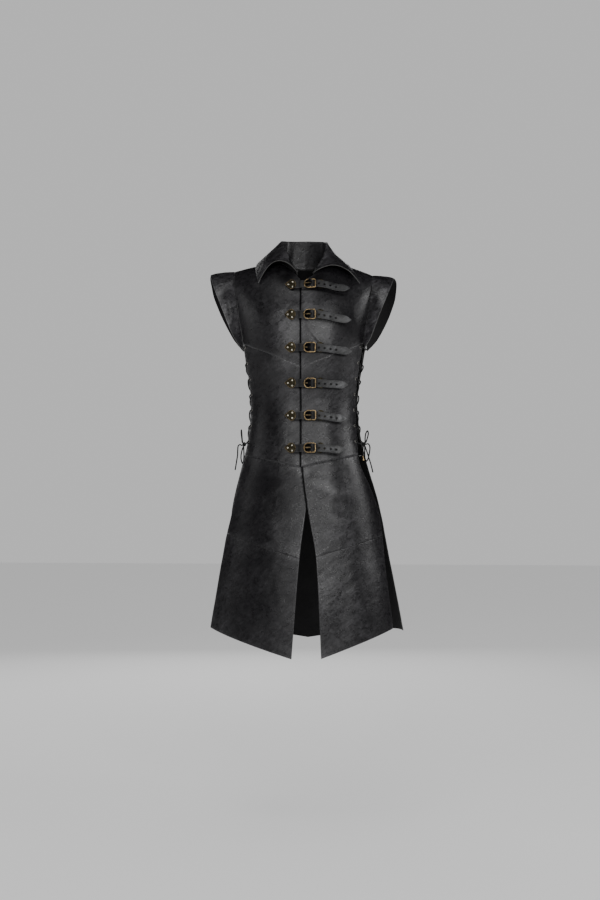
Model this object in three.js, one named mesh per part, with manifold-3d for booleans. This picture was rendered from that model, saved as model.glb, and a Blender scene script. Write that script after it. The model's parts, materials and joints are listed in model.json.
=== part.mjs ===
// A sleeveless long leather jerkin, in millimetres: Z up, the front faces -Y, the wearer's left is +X.
// The origin lies between the two points where the shoulder seams meet the neckline.
// Every piece of leather is a wall on one hollow body form, so neighbours meet edge to edge at the seams.
import * as THREE from "three";
import { mergeVertices } from "three/addons/utils/BufferGeometryUtils.js";
import Module from "manifold-3d";

const wasm = await Module();
wasm.setup();

// ---------------------------------------------------------------- driving sizes
const LEATHER = 2.2; // thickness of the body leather
const GAP = 0.3; // between pieces that meet
const HALF_GAPS = [GAP / 2, GAP / 2]; // what a panel gives up at its upper and lower seam
const OVERLAP_LIFT = LEATHER + 0.8; // the wearer's left front lies this far over the right one
const UNDERLAP = 26; // how far the right front runs on below the left one

// The hollow body form: half width, depth in front and depth behind at each height.
const LEVELS = [
  { z: 20, half: 217, front: 128, back: 118 },
  { z: -50, half: 214, front: 128, back: 118 },
  { z: -90, half: 208, front: 128, back: 118 },
  { z: -135, half: 198, front: 128, back: 118 },
  { z: -175, half: 188, front: 128, back: 118 },
  { z: -213, half: 178, front: 128, back: 117 },
  { z: -255, half: 170, front: 126, back: 112 },
  { z: -297, half: 163, front: 121, back: 105 },
  { z: -345, half: 155, front: 115, back: 99 },
  { z: -395, half: 151, front: 112, back: 98 },
  { z: -448, half: 154, front: 115, back: 106 },
  { z: -500, half: 162, front: 121, back: 118 },
  { z: -560, half: 177, front: 130, back: 131 },
  { z: -680, half: 211, front: 149, back: 154 },
  { z: -800, half: 234, front: 168, back: 174 },
  { z: -920, half: 257, front: 184, back: 190 },
  { z: -1090, half: 289, front: 203, back: 208 },
];
const SECTION_POWER = 2.4; // of a level section: 2 is an ellipse, more is squarer
const CHEST_LEVEL = -200; // above it the form closes over the shoulders
const SHOULDER_POWER = { front: 2.3, back: 2.6 }; // of the profile that closes it
const NECK_HALF = 75; // from the middle to where the shoulder seam starts
const ARM_TOP = { x: 193, right: -24, left: -38 }; // where the shoulder seams end; the left one hangs lower
const ARM_FOOT = -224; // height of the armhole's foot, where the lacing starts

const ARMHOLES = {
  front: [
    { z: 0, x: 194 },
    { z: -24, x: 193 },
    { z: -50, x: 190 },
    { z: -90, x: 185 },
    { z: -135, x: 177.5 },
    { z: -175, x: 171.5 },
    { z: -224, x: 165 },
  ],
  back: [
    { z: 0, x: 194 },
    { z: -24, x: 193 },
    { z: -50, x: 191 },
    { z: -90, x: 187 },
    { z: -135, x: 181 },
    { z: -175, x: 177 },
    { z: -224, x: 171 },
  ],
};
const NECKLINES = {
  right: [
    { x: 0, z: -63 },
    { x: 14, z: -44 },
    { x: 28, z: -31 },
    { x: 45, z: -16 },
    { x: 62, z: -5 },
    { x: 75, z: 0 },
  ],
  left: [
    { x: 0, z: -65 },
    { x: 20, z: -53 },
    { x: 35, z: -42 },
    { x: 52, z: -23 },
    { x: 66, z: -7 },
    { x: 75, z: 0 },
  ],
  back: [
    { x: 0, z: -12 },
    { x: 35, z: -9 },
    { x: 60, z: -4 },
    { x: 75, z: 0 },
  ],
};

// The V seams and hems: the height at the middle, and how much they climb for each mm sideways.
const SEAMS = {
  chest: { right: { foot: -294, climb: 0.4 }, left: { foot: -294, climb: 0.4 } },
  waist: { right: { foot: -567, climb: 0.2 }, left: { foot: -567, climb: 0.22 } },
  skirt: { right: { foot: -814, climb: 0.31 }, left: { foot: -821, climb: 0.3 } },
  hem: { right: { foot: -1085, climb: 0.31 }, left: { foot: -1098, climb: 0.37 } },
  backWaist: { foot: -567, climb: 0.19 },
  backHem: { foot: -1072, climb: 0.16 },
};

// Front edges of the skirt: the split opens where the two lines cross.
const SPLIT = {
  right: [
    { z: -540, x: 29 },
    { z: -567, x: 28 },
    { z: -680, x: 14 },
    { z: -810, x: -2 },
    { z: -1100, x: -23 },
  ],
  left: [
    { z: -540, x: 2 },
    { z: -567, x: 4 },
    { z: -680, x: 19 },
    { z: -820, x: 43 },
    { z: -1100, x: 58 },
  ],
};

// Side edges, as the angle round the form from the middle of the front or back, in degrees.
const SIDE_EDGES = {
  front: {
    right: [
      { z: -224, angle: 68 },
      { z: -320, angle: 68.5 },
      { z: -400, angle: 70 },
      { z: -480, angle: 68 },
      { z: -567, angle: 65 },
      { z: -690, angle: 62 },
      { z: -780, angle: 65 },
      { z: -1100, angle: 63 },
    ],
    left: [
      { z: -224, angle: 68 },
      { z: -320, angle: 68.5 },
      { z: -400, angle: 70 },
      { z: -480, angle: 67 },
      { z: -550, angle: 60 },
      { z: -620, angle: 68 },
      { z: -700, angle: 76 },
      { z: -850, angle: 67 },
      { z: -1100, angle: 60 },
    ],
  },
  back: {
    right: [
      { z: -224, angle: 77 },
      { z: -400, angle: 76 },
      { z: -550, angle: 79 },
      { z: -760, angle: 72 },
      { z: -1100, angle: 68 },
    ],
    left: [
      { z: -224, angle: 77 },
      { z: -400, angle: 76 },
      { z: -540, angle: 79 },
      { z: -1100, angle: 86 },
    ],
  },
};

const SIDES = { right: -1, left: 1 };
const LACING = { rows: 7, top: -238, pitch: 43.2, inset: 4.4, cord: 3.6, rise: 2.3, lead: 0.12 };
const EYELET = { radius: 4.6, hole: 2.3, proud: 0.7 };

// ---------------------------------------------------------------- curves and the form
const radians = (degrees) => (degrees * Math.PI) / 180;
const power = (value, exponent) => Math.sign(value) * Math.abs(value) ** exponent;
const clamp = (value, low, high) => Math.min(high, Math.max(low, value));
const mix = (a, b, share) => a + (b - a) * share;
const ease = (share) => share * share * (3 - 2 * share);

// A smooth value between a table's rows, which run in order of their column `key`.
function read(table, key, column, at) {
  const rising = table[table.length - 1][key] > table[0][key];
  let i = 0;
  while (i < table.length - 2 && (rising ? at > table[i + 1][key] : at < table[i + 1][key])) i += 1;
  const slope = (j) => (table[j + 1][column] - table[j][column]) / (table[j + 1][key] - table[j][key]);
  const here = slope(i);
  const before = i > 0 ? slope(i - 1) : here;
  const after = i < table.length - 2 ? slope(i + 1) : here;
  const tangent = (a, b) => (a * b <= 0 ? 0 : (2 * a * b) / (a + b));
  const span = table[i + 1][key] - table[i][key];
  const t = clamp((at - table[i][key]) / span, 0, 1);
  const [m0, m1] = [tangent(before, here) * span, tangent(here, after) * span];
  const [a, b] = [table[i][column], table[i + 1][column]];
  return (
    a * (2 * t ** 3 - 3 * t ** 2 + 1) +
    m0 * (t ** 3 - 2 * t ** 2 + t) +
    b * (3 * t ** 2 - 2 * t ** 3) +
    m1 * (t ** 3 - t ** 2)
  );
}

const halfWidth = (z) => read(LEVELS, "z", "half", z);

// Height of the shoulder seam at a distance from the middle.
function ridge(x) {
  const share = Math.max(0, (Math.abs(x) - NECK_HALF) / (ARM_TOP.x - NECK_HALF));
  return (x < 0 ? ARM_TOP.right : ARM_TOP.left) * share ** 1.3;
}

// Share of the full depth at a height: it falls to nothing along the shoulder seam.
function closing(x, z, face) {
  if (z <= CHEST_LEVEL) return 1;
  const share = clamp((ridge(x) - z) / (ridge(x) - CHEST_LEVEL), 0, 1);
  const p = SHOULDER_POWER[face];
  return (1 - (1 - share) ** p) ** (1 / p);
}

// The point of the form at an angle from the middle of its front or back, and a height.
function formPoint(angle, z, face) {
  const x = halfWidth(z) * power(Math.sin(angle), 2 / SECTION_POWER);
  const side = face === "front" ? -1 : 1;
  const depth = read(LEVELS, "z", face, z) * power(Math.cos(angle), 2 / SECTION_POWER);
  return new THREE.Vector3(x, side * (depth * closing(x, z, face) + GAP / 2), z);
}

// The outward normal of the form there.
function formNormal(angle, z, face) {
  const at = (turn, rise) => formPoint(angle + turn, z + rise, face);
  const normal = at(0.01, 0).sub(at(-0.01, 0)).cross(at(0, 1).sub(at(0, -1))).normalize();
  return normal.dot(at(0, 0).setZ(0)) < 0 ? normal.negate() : normal;
}

// The angle at which the form is x from the middle.
function angleAt(x, z) {
  return Math.sign(x) * Math.asin(clamp(Math.abs(x) / halfWidth(z), 0, 1) ** (SECTION_POWER / 2));
}

// How far the wearer's left front lies above the form at a distance from the middle.
function overlapLift(x) {
  return OVERLAP_LIFT * (1 - ease(clamp((x - 60) / 70, 0, 1)));
}

// ---------------------------------------------------------------- geometry helpers
function geometryFrom(positions, indices) {
  const geometry = new THREE.BufferGeometry();
  geometry.setAttribute("position", new THREE.Float32BufferAttribute(positions, 3));
  geometry.setIndex(indices);
  return geometry;
}

function volumeOf(points, indices) {
  let sum = 0;
  for (let i = 0; i < indices.length; i += 3) {
    const [a, b, c] = [0, 1, 2].map((k) => points[indices[i + k]]);
    sum += a.dot(b.clone().cross(c)) / 6;
  }
  return sum;
}

// One closed wall between two grids of points with the same rows and columns.
function wallBetween(inner, outer) {
  const [rows, columns] = [inner.length, inner[0].length];
  const points = [...inner.flat(), ...outer.flat()];
  const at = (layer, i, j) => layer * rows * columns + i * columns + j;
  const indices = [];
  const quad = (a, b, c, d) => indices.push(a, b, c, a, c, d);
  for (let i = 0; i < rows - 1; i += 1) {
    for (let j = 0; j < columns - 1; j += 1) {
      quad(at(1, i, j), at(1, i, j + 1), at(1, i + 1, j + 1), at(1, i + 1, j));
      quad(at(0, i, j), at(0, i + 1, j), at(0, i + 1, j + 1), at(0, i, j + 1));
    }
  }
  for (let j = 0; j < columns - 1; j += 1) {
    quad(at(0, 0, j), at(0, 0, j + 1), at(1, 0, j + 1), at(1, 0, j));
    quad(at(0, rows - 1, j), at(1, rows - 1, j), at(1, rows - 1, j + 1), at(0, rows - 1, j + 1));
  }
  for (let i = 0; i < rows - 1; i += 1) {
    quad(at(0, i, 0), at(1, i, 0), at(1, i + 1, 0), at(0, i + 1, 0));
    const far = columns - 1;
    quad(at(0, i, far), at(0, i + 1, far), at(1, i + 1, far), at(1, i, far));
  }
  if (volumeOf(points, indices) < 0) indices.reverse();
  return geometryFrom(points.flatMap((p) => p.toArray()), indices);
}

// A wall on a surface given by place(across, down), both 0 to 1, between two heights above it.
// `middle` is a point that the wall's outside faces away from.
function sheet({ rows, columns, place, middle, from = () => 0, thickness = LEATHER }) {
  const step = 0.004;
  const grids = [[], []];
  for (let i = 0; i <= rows; i += 1) {
    const down = i / rows;
    const lines = [[], []];
    for (let j = 0; j <= columns; j += 1) {
      const across = j / columns;
      const point = place(across, down);
      const [a0, a1] = [Math.max(0, across - step), Math.min(1, across + step)];
      const [d0, d1] = [Math.max(0, down - step), Math.min(1, down + step)];
      const normal = place(a1, down).sub(place(a0, down)).cross(place(across, d1).sub(place(across, d0)));
      normal.normalize();
      if (normal.dot(point.clone().sub(middle(point))) < 0) normal.negate();
      const low = from(point);
      lines[0].push(point.clone().addScaledVector(normal, low));
      lines[1].push(point.clone().addScaledVector(normal, low + thickness));
    }
    grids[0].push(lines[0]);
    grids[1].push(lines[1]);
  }
  return wallBetween(grids[0], grids[1]);
}

function solidOf(geometry) {
  const bare = geometry.clone();
  bare.deleteAttribute("normal");
  bare.deleteAttribute("uv");
  bare.clearGroups();
  const merged = mergeVertices(bare, 1e-3);
  return new wasm.Manifold(
    new wasm.Mesh({
      numProp: 3,
      vertProperties: new Float32Array(merged.attributes.position.array),
      triVerts: new Uint32Array(merged.index.array),
    }),
  );
}

function geometryOf(solid) {
  const mesh = solid.getMesh();
  return geometryFrom([...mesh.vertProperties], [...mesh.triVerts]);
}

const join = (...parts) => geometryOf(parts.map(solidOf).reduce((whole, part) => whole.add(part)));
const cut = (body, ...tools) =>
  geometryOf(tools.map(solidOf).reduce((left, tool) => left.subtract(tool), solidOf(body)));

// Bends a geometry built flat, with X across, Z up and -Y as its height, round the front of the form at one
// level. It stays straight along its width, so bars and pins keep their form.
function bendOntoFront(geometry, z) {
  const up = new THREE.Vector3(0, 0, 1);
  const level = formNormal(angleAt(BAR.x, z), z, "front");
  up.addScaledVector(level, -level.z).normalize();
  const place = geometry.attributes.position;
  for (let i = 0; i < place.count; i += 1) {
    const angle = angleAt(place.getX(i), z);
    const point = formPoint(angle, z, "front");
    point.addScaledVector(formNormal(angle, z, "front"), -place.getY(i));
    point.addScaledVector(up, place.getZ(i));
    place.setXYZ(i, point.x, point.y, point.z);
  }
  return geometry;
}

// An outline in X and height, extruded across the strap's width: the outline's points are [x, h].
function acrossWidth(outline, width, holes = []) {
  const points = outline.map(([x, h]) => new THREE.Vector2(x, h));
  if (THREE.ShapeUtils.isClockWise(points)) points.reverse();
  const shape = new THREE.Shape(points);
  shape.holes.push(...holes);
  const geometry = new THREE.ExtrudeGeometry(shape, { depth: width, bevelEnabled: false });
  geometry.translate(0, 0, -width / 2);
  return geometry.rotateX(Math.PI);
}

// A smooth curve whose steps fall on its points, however far apart they lie.
class PointwiseCurve extends THREE.CatmullRomCurve3 {
  getUtoTmapping(share) {
    return share;
  }
}

function tube(points, diameter, stepsBetween, sides = 8) {
  const section = new THREE.Shape();
  for (let i = 0; i < sides; i += 1) {
    const turn = (i / sides) * 2 * Math.PI;
    const [x, y] = [(Math.cos(turn) * diameter) / 2, (Math.sin(turn) * diameter) / 2];
    if (i === 0) section.moveTo(x, y);
    else section.lineTo(x, y);
  }
  section.closePath();
  const path = new PointwiseCurve(points.map(([x, y, z]) => new THREE.Vector3(x, y, z)));
  const steps = stepsBetween * (points.length - 1);
  return new THREE.ExtrudeGeometry(section, { steps, bevelEnabled: false, extrudePath: path });
}

// ---------------------------------------------------------------- materials
const leather = new THREE.MeshStandardMaterial({ color: 0x2b2d30, roughness: 0.5, metalness: 0 });
const strapLeather = new THREE.MeshStandardMaterial({ color: 0x222326, roughness: 0.6, metalness: 0 });
const brass = new THREE.MeshStandardMaterial({ color: 0x8a7646, roughness: 0.35, metalness: 1 });
const cordMaterial = new THREE.MeshStandardMaterial({ color: 0x151517, roughness: 0.8, metalness: 0 });

const jerkin = new THREE.Group();
function add(name, geometry, material) {
  const mesh = new THREE.Mesh(geometry, material);
  mesh.name = name;
  jerkin.add(mesh);
}

// ---------------------------------------------------------------- body panels
const seamHeight = ({ foot, climb }, outwards) => foot + climb * outwards;

// Distance along the form from the chest level, measured downwards, and back again: it keeps the rows of a
// panel even where the form turns over the shoulder.
const SHOULDER_RUN = 130;
function runOf(x, z, face) {
  if (z <= CHEST_LEVEL) return CHEST_LEVEL - z;
  const share = clamp((ridge(x) - z) / (ridge(x) - CHEST_LEVEL), 0, 1);
  return (Math.acos((1 - share) ** (SHOULDER_POWER[face] / 2)) / (Math.PI / 2) - 1) * SHOULDER_RUN;
}
function heightOf(x, run, face) {
  if (run >= 0) return CHEST_LEVEL - run;
  const turn = (1 + run / SHOULDER_RUN) * (Math.PI / 2);
  return mix(CHEST_LEVEL, ridge(x), Math.cos(turn) ** (2 / SHOULDER_POWER[face]));
}

// A panel of the form between two edges, given as angles by height, and two lines, given as heights by x.
// COLUMN_SPREAD sets the columns closer together at the middle, with one where the shoulder seam starts.
const COLUMN_SPREAD = { front: 1.35, back: 1.55 };
function panel({ face, rows, columns, nearAngle, farAngle, topLine, footLine, from, trim = HALF_GAPS }) {
  const angleOf = (across, z) => {
    if (face === "front") return mix(nearAngle(z), farAngle(z), across ** COLUMN_SPREAD.front);
    return (across < 0.5 ? nearAngle(z) : farAngle(z)) * power(2 * across - 1, COLUMN_SPREAD.back);
  };
  const point = (across, z) => formPoint(angleOf(across, z), z, face);
  const settle = (across, line, start) => {
    let z = start;
    for (let i = 0; i < 6; i += 1) z = line(point(across, z).x);
    return z;
  };
  const place = (across, down) => {
    const top = settle(across, topLine, -60) - trim[0];
    const foot = settle(across, footLine, -500) + trim[1];
    const x = point(across, top).x;
    const run = mix(runOf(x, top, face), runOf(x, foot, face), down);
    return point(across, heightOf(x, run, face));
  };
  const middle = (p) => new THREE.Vector3(0, 0, Math.min(p.z, -300));
  return sheet({ rows, columns, place, middle, from });
}

const armAngle = (face) => (z) => angleAt(read(ARMHOLES[face], "z", "x", clamp(z, ARM_FOOT, 0)), z);
const edgeAngle = (face, name) => (z) => radians(read(SIDE_EDGES[face][name], "z", "angle", z));

// A disc with its hole, set through a panel at a point of the form; it gives what to join and what to cut.
function eyelet(angle, z, face) {
  const normal = formNormal(angle, z, face);
  const centre = formPoint(angle, z, face);
  const turn = new THREE.Quaternion().setFromUnitVectors(new THREE.Vector3(0, 1, 0), normal);
  const placed = (geometry, low, high) =>
    geometry
      .translate(0, (low + high) / 2, 0)
      .applyQuaternion(turn)
      .translate(centre.x, centre.y, centre.z);
  const rim = LEATHER + EYELET.proud;
  return {
    disc: placed(new THREE.CylinderGeometry(EYELET.radius, EYELET.radius, rim - 0.8, 6), 0.8, rim),
    hole: placed(new THREE.CylinderGeometry(EYELET.hole, EYELET.hole, 16, 6), -8, 8),
  };
}

const lacingHeight = (row) => LACING.top - LACING.pitch * row;
function lacingAngle(face, name, z) {
  return edgeAngle(face, name)(z) - radians(LACING.inset);
}

function withEyelets(geometry, face, names) {
  const rings = [];
  for (const name of names) {
    for (let row = 0; row < LACING.rows; row += 1) {
      const z = lacingHeight(row);
      rings.push(eyelet(SIDES[name] * lacingAngle(face, name, z), z, face));
    }
  }
  return cut(join(geometry, ...rings.map((ring) => ring.disc)), ...rings.map((ring) => ring.hole));
}

function addFront(name) {
  const side = SIDES[name];
  const lift = side > 0 ? (p) => overlapLift(p.x) : () => 0;
  const bodyEdge = side > 0 ? () => 0 : () => UNDERLAP;
  const splitEdge = (z) => read(SPLIT[name], "z", "x", clamp(z, -1100, -540));
  const near = (edge) => (z) => angleAt(edge(z), z);
  const far = (angle) => (z) => side * angle(z);
  const seam = (which) => (x) => seamHeight(SEAMS[which][name], side * x);
  const neckAndShoulder = (x) => {
    const outwards = Math.max(0, side * x);
    if (outwards >= NECK_HALF) return ridge(x);
    return read(NECKLINES[name], "x", "z", outwards);
  };
  const common = { face: "front", from: lift };
  const chest = panel({
    ...common,
    rows: 11,
    columns: 8,
    nearAngle: near(bodyEdge),
    farAngle: far(armAngle("front")),
    topLine: neckAndShoulder,
    footLine: seam("chest"),
    trim: [0, GAP / 2],
  });
  const waist = panel({
    ...common,
    rows: 7,
    columns: 8,
    nearAngle: near(bodyEdge),
    farAngle: far(edgeAngle("front", name)),
    topLine: seam("chest"),
    footLine: seam("waist"),
  });
  const skirt = (top, foot, trim) =>
    panel({
      ...common,
      rows: 5,
      columns: 7,
      nearAngle: near(splitEdge),
      farAngle: far(edgeAngle("front", name)),
      topLine: seam(top),
      footLine: seam(foot),
      trim,
    });
  add("front_chest_" + name, chest, leather);
  add("front_waist_" + name, withEyelets(waist, "front", [name]), leather);
  add("front_skirt_upper_" + name, skirt("waist", "skirt", [GAP / 2, GAP / 2]), leather);
  add("front_skirt_lower_" + name, skirt("skirt", "hem", [GAP / 2, 0]), leather);
}

function addBack() {
  const outer = (name) => (z) => (z > ARM_FOOT ? armAngle("back")(z) : edgeAngle("back", name)(z));
  const neckAndShoulder = (x) => {
    const outwards = Math.abs(x);
    return outwards >= NECK_HALF ? ridge(x) : read(NECKLINES.back, "x", "z", outwards);
  };
  const bodice = panel({
    face: "back",
    rows: 13,
    columns: 14,
    nearAngle: outer("right"),
    farAngle: outer("left"),
    topLine: neckAndShoulder,
    footLine: (x) => seamHeight(SEAMS.backWaist, Math.abs(x)),
    trim: [0, GAP / 2],
  });
  const skirt = panel({
    face: "back",
    rows: 6,
    columns: 14,
    nearAngle: edgeAngle("back", "right"),
    farAngle: edgeAngle("back", "left"),
    topLine: (x) => seamHeight(SEAMS.backWaist, Math.abs(x)),
    footLine: (x) => seamHeight(SEAMS.backHem, Math.abs(x)),
    trim: [GAP / 2, 0],
  });
  add("back_bodice", withEyelets(bodice, "back", ["right", "left"]), leather);
  add("back_skirt", skirt, leather);
}

// ---------------------------------------------------------------- shoulder wings
// The free edge of a wing, from its foot in front over the shoulder to its foot behind.
const WING_EDGE = [
  { run: 0, x: 170, y: -66, z: -240 },
  { run: 1, x: 188, y: -78, z: -212 },
  { run: 2, x: 204, y: -86, z: -176 },
  { run: 3, x: 221, y: -86, z: -132 },
  { run: 4, x: 240, y: -74, z: -87 },
  { run: 5, x: 255, y: -46, z: -49 },
  { run: 6, x: 262, y: -6, z: -30 },
  { run: 7, x: 268, y: 36, z: -42 },
  { run: 8, x: 264, y: 64, z: -76 },
  { run: 9, x: 250, y: 82, z: -118 },
  { run: 10, x: 230, y: 88, z: -162 },
  { run: 11, x: 204, y: 82, z: -206 },
  { run: 12, x: 175, y: 60, z: -240 },
];
const WING = { rows: 4, columns: 22, crown: 5, clear: 0.45 };
const WING_SHIFT = { right: { x: 0, z: 0 }, left: { x: -9, z: -14 } }; // of the free edge, most at the top

// The armhole's edge from its foot in front (0) over the shoulder (0.5) to its foot behind (1), or a point
// that lies an angle further in on the form.
function armhole(share, side, inwards = 0) {
  const face = share < 0.5 ? "front" : "back";
  const down = Math.abs(share - 0.5) * 2;
  const run = mix(-SHOULDER_RUN, CHEST_LEVEL - ARM_FOOT, down);
  const z = heightOf(side * ARM_TOP.x, run, face);
  return formPoint(side * (armAngle(face)(z) - inwards), z, face);
}

// The outer corner of the panel's edge there, where the wing is sewn on.
function armholeCorner(share, side) {
  const step = 0.01;
  const point = armhole(share, side);
  const along = armhole(Math.min(1, share + step), side).sub(armhole(Math.max(0, share - step), side));
  const normal = along.cross(armhole(share, side, 0.03).sub(point)).normalize();
  if (normal.dot(point.clone().sub(new THREE.Vector3(side * 120, 0, -230))) < 0) normal.negate();
  return point.addScaledVector(normal, LEATHER);
}

function addWing(name) {
  const side = SIDES[name];
  const last = WING_EDGE.length - 1;
  const place = (along, out) => {
    const seam = armholeCorner(along, side);
    const [x, y, z] = ["x", "y", "z"].map((axis) => read(WING_EDGE, "run", axis, along * last));
    const high = Math.sin(Math.PI * along);
    const shift = WING_SHIFT[name];
    const edge = new THREE.Vector3(side * (x + shift.x * high), y, z + shift.z * high);
    const away = edge.clone().sub(seam).normalize();
    const point = seam.clone().addScaledVector(away, WING.clear).lerp(edge, out);
    const bulge = new THREE.Vector3(side * 0.5, point.y * 0.006, 0.6);
    return point.addScaledVector(bulge, WING.crown * 4 * out * (1 - out) * high);
  };
  const middle = () => new THREE.Vector3(side * 120, 0, -230);
  const from = () => -LEATHER;
  add("wing_" + name, sheet({ rows: WING.rows, columns: WING.columns, place, middle, from }), leather);
}

// ---------------------------------------------------------------- collar
// Sections round the neck from the wearer's right front to the left front. bx: where the stand meets the
// neckline; fold: the stand's top; edge: the leaf's free edge; bulge: how far the leaf's middle lies off
// the straight line between them, outwards and up.
const COLLAR = [
  { run: 0, bx: -15, fx: -15, fy: -94, fz: -33, ex: -118, ey: -98, ez: -65, out: 6, up: 43 },
  { run: 1, bx: -33, fx: -32, fy: -77, fz: -9, ex: -125, ey: -80, ez: -42, out: 6, up: 24 },
  { run: 2, bx: -56, fx: -51, fy: -47, fz: 33, ex: -130, ey: -50, ez: -17, out: 2, up: 7 },
  { run: 3, bx: -75, fx: -64, fy: -6, fz: 60, ex: -130, ey: 0, ez: -1, out: 0, up: 0 },
  { run: 4, bx: -54, fx: -50, fy: 44, fz: 66, ex: -106, ey: 78, ez: -16, out: 5, up: 2 },
  { run: 5, bx: 0, fx: 2, fy: 62, fz: 68, ex: 2, ey: 106, ez: -26, out: 7, up: 3 },
  { run: 6, bx: 54, fx: 53, fy: 44, fz: 64, ex: 102, ey: 78, ez: -18, out: 4, up: 2 },
  { run: 7, bx: 71.5, fx: 65, fy: -6, fz: 55, ex: 121, ey: 0, ez: -6, out: -4, up: -2 },
  { run: 8, bx: 61.5, fx: 62, fy: -46, fz: 26, ex: 133, ey: -46, ez: -21, out: 0, up: 4 },
  { run: 9, bx: 51, fx: 49, fy: -76, fz: -11, ex: 149, ey: -76, ez: -46, out: 5, up: 14 },
  { run: 10, bx: 33, fx: 32, fy: -92, fz: -37, ex: 157, ey: -93, ez: -67, out: 6, up: 33 },
];
const COLLAR_WALL = 2;
const LEAF_CLEAR = 0.5; // from the stand's outside to the leaf's inside at the fold
const STAND_CLEAR = { up: 2, inwards: 2.4 }; // from the neckline

function addCollar() {
  const last = COLLAR.length - 1;
  const at = (letters, along) =>
    new THREE.Vector3(...letters.map((column) => read(COLLAR, "run", column, along * last)));
  const neck = new THREE.Vector3(2, -14, 0);
  const outwards = (point) => point.clone().sub(neck).setZ(0).normalize();
  const middle = (p) => neck.clone().setZ(p.z);
  const base = (along) => {
    const x = read(COLLAR, "run", "bx", along * last);
    const face = along > 0.3 && along < 0.7 ? "back" : "front";
    const line = NECKLINES[face === "back" ? "back" : x < 0 ? "right" : "left"];
    const z = read(line, "x", "z", Math.abs(x));
    const point = formPoint(angleAt(x, z), z, face);
    point.z += STAND_CLEAR.up;
    return point.addScaledVector(outwards(point), -STAND_CLEAR.inwards);
  };
  const standPlace = (along, down) => at(["fx", "fy", "fz"], along).lerp(base(along), down);
  const inside = () => -COLLAR_WALL;
  const shared = { middle, from: inside, thickness: COLLAR_WALL };
  const stand = sheet({ rows: 2, columns: 26, place: standPlace, ...shared });
  const leafPlace = (along, down) => {
    const fold = at(["fx", "fy", "fz"], along);
    fold.addScaledVector(outwards(fold), LEAF_CLEAR);
    const edge = at(["ex", "ey", "ez"], along);
    const point = fold.clone().lerp(edge, down);
    const bulge = 4 * down * (1 - down);
    point.addScaledVector(outwards(point), bulge * read(COLLAR, "run", "out", along * last));
    point.z += bulge * read(COLLAR, "run", "up", along * last);
    return point;
  };
  const below = () => neck.clone().setZ(-150);
  const leaf = sheet({ rows: 4, columns: 26, place: leafPlace, middle: below, thickness: COLLAR_WALL });
  add("collar_stand", stand, leather);
  add("collar_leaf", leaf, leather);
}

// ---------------------------------------------------------------- buckled straps
// Each strap is riveted to the wearer's right front, runs through its buckle and hangs free to the left.
// tip: how far the point reaches; drop: how far it droops.
const STRAPS = [
  { z: -72, tip: 126, drop: 15 },
  { z: -154, tip: 129, drop: 14 },
  { z: -242, tip: 128, drop: 9 },
  { z: -338, tip: 117, drop: 4 },
  { z: -427, tip: 113, drop: 9 },
  { z: -516, tip: 110, drop: 6 },
];
const STRAP = { width: 20.6, wall: 2.2, point: 12 };
const SEAT = 0.4; // spare room under the straps and buckles, where the leather curves
const FRONT_FACE = OVERLAP_LIFT + LEATHER + SEAT; // the height they lie at over the upper front
const BUCKLE = { left: 6.7, right: 37.5, half: 16, wire: 3, height: FRONT_FACE + 4.3, tilt: 0.068 };
const BAR = { x: 24, height: FRONT_FACE + 5.3, radius: 1.2, loop: 2.9 };
const SLOT = { from: 14, to: 28.6, half: 2.2 };
const CHAPE_WALL = 1.6;
const SUNK = 0.1; // how far a plate is pressed into the strap that it is joined to
const PLATE = { wall: 1, radius: 6.6, lobe: 9.5, dome: 2.3, rise: 1.5 };

// The underside of a strap: its height above the form, or above the upper front's face past its edge.
const STRAP_RUN = [
  { x: -37, h: LEATHER + GAP + SEAT },
  { x: -24, h: LEATHER + GAP + SEAT },
  { x: -9, h: LEATHER + GAP + SEAT },
  { x: -2, h: FRONT_FACE + GAP },
  { x: 10.4, h: FRONT_FACE + GAP },
  { x: 20.4, h: FRONT_FACE + 8.5 },
  { x: 27.6, h: FRONT_FACE + 8.5 },
  { x: 34, h: FRONT_FACE + 2.2 },
  { x: 37.8, h: FRONT_FACE + 2.2 },
  { x: 43, h: FRONT_FACE + 5.1 },
  { x: 54, h: FRONT_FACE + 5.1 },
  { x: 72, h: FRONT_FACE + 4.6 },
  { x: 90, h: FRONT_FACE + 1.6 },
];
const TIP_HEIGHT = 12;

// Points on a circle round the middle bar.
function arcPoints(radius, fromDegrees, toDegrees, count) {
  return Array.from({ length: count + 1 }, (_, i) => {
    const turn = radians(mix(fromDegrees, toDegrees, i / count));
    return [BAR.x + radius * Math.cos(turn), BAR.height + radius * Math.sin(turn)];
  });
}

// The hole in which the tongue and the chape hold the bar.
function barHole() {
  const points = arcPoints(BAR.radius + GAP, 0, -315, 7);
  return new THREE.Path(points.map(([x, h]) => new THREE.Vector2(x, h)));
}

function strapGeometry({ tip, drop }) {
  const line = [...STRAP_RUN, { x: tip - STRAP.point, h: TIP_HEIGHT - 1.5 }, { x: tip, h: TIP_HEIGHT }];
  const droop = (x) => -drop * ease(clamp((x - 30) / (tip - 30), 0, 1));
  const half = (x) => (x > tip - 1 ? 1.6 : STRAP.width / 2);
  const rows = line.map(({ x, h }) =>
    [-1, 1].map((side) => new THREE.Vector3(x, -h, droop(x) + side * half(x))),
  );
  const upper = rows.map((row) => row.map((p) => p.clone().add(new THREE.Vector3(0, -STRAP.wall, 0))));
  const slot = new THREE.BoxGeometry(SLOT.to - SLOT.from, 60, 2 * SLOT.half);
  slot.translate((SLOT.from + SLOT.to) / 2, 0, 0);
  return cut(wallBetween(rows, upper), slot);
}

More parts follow.
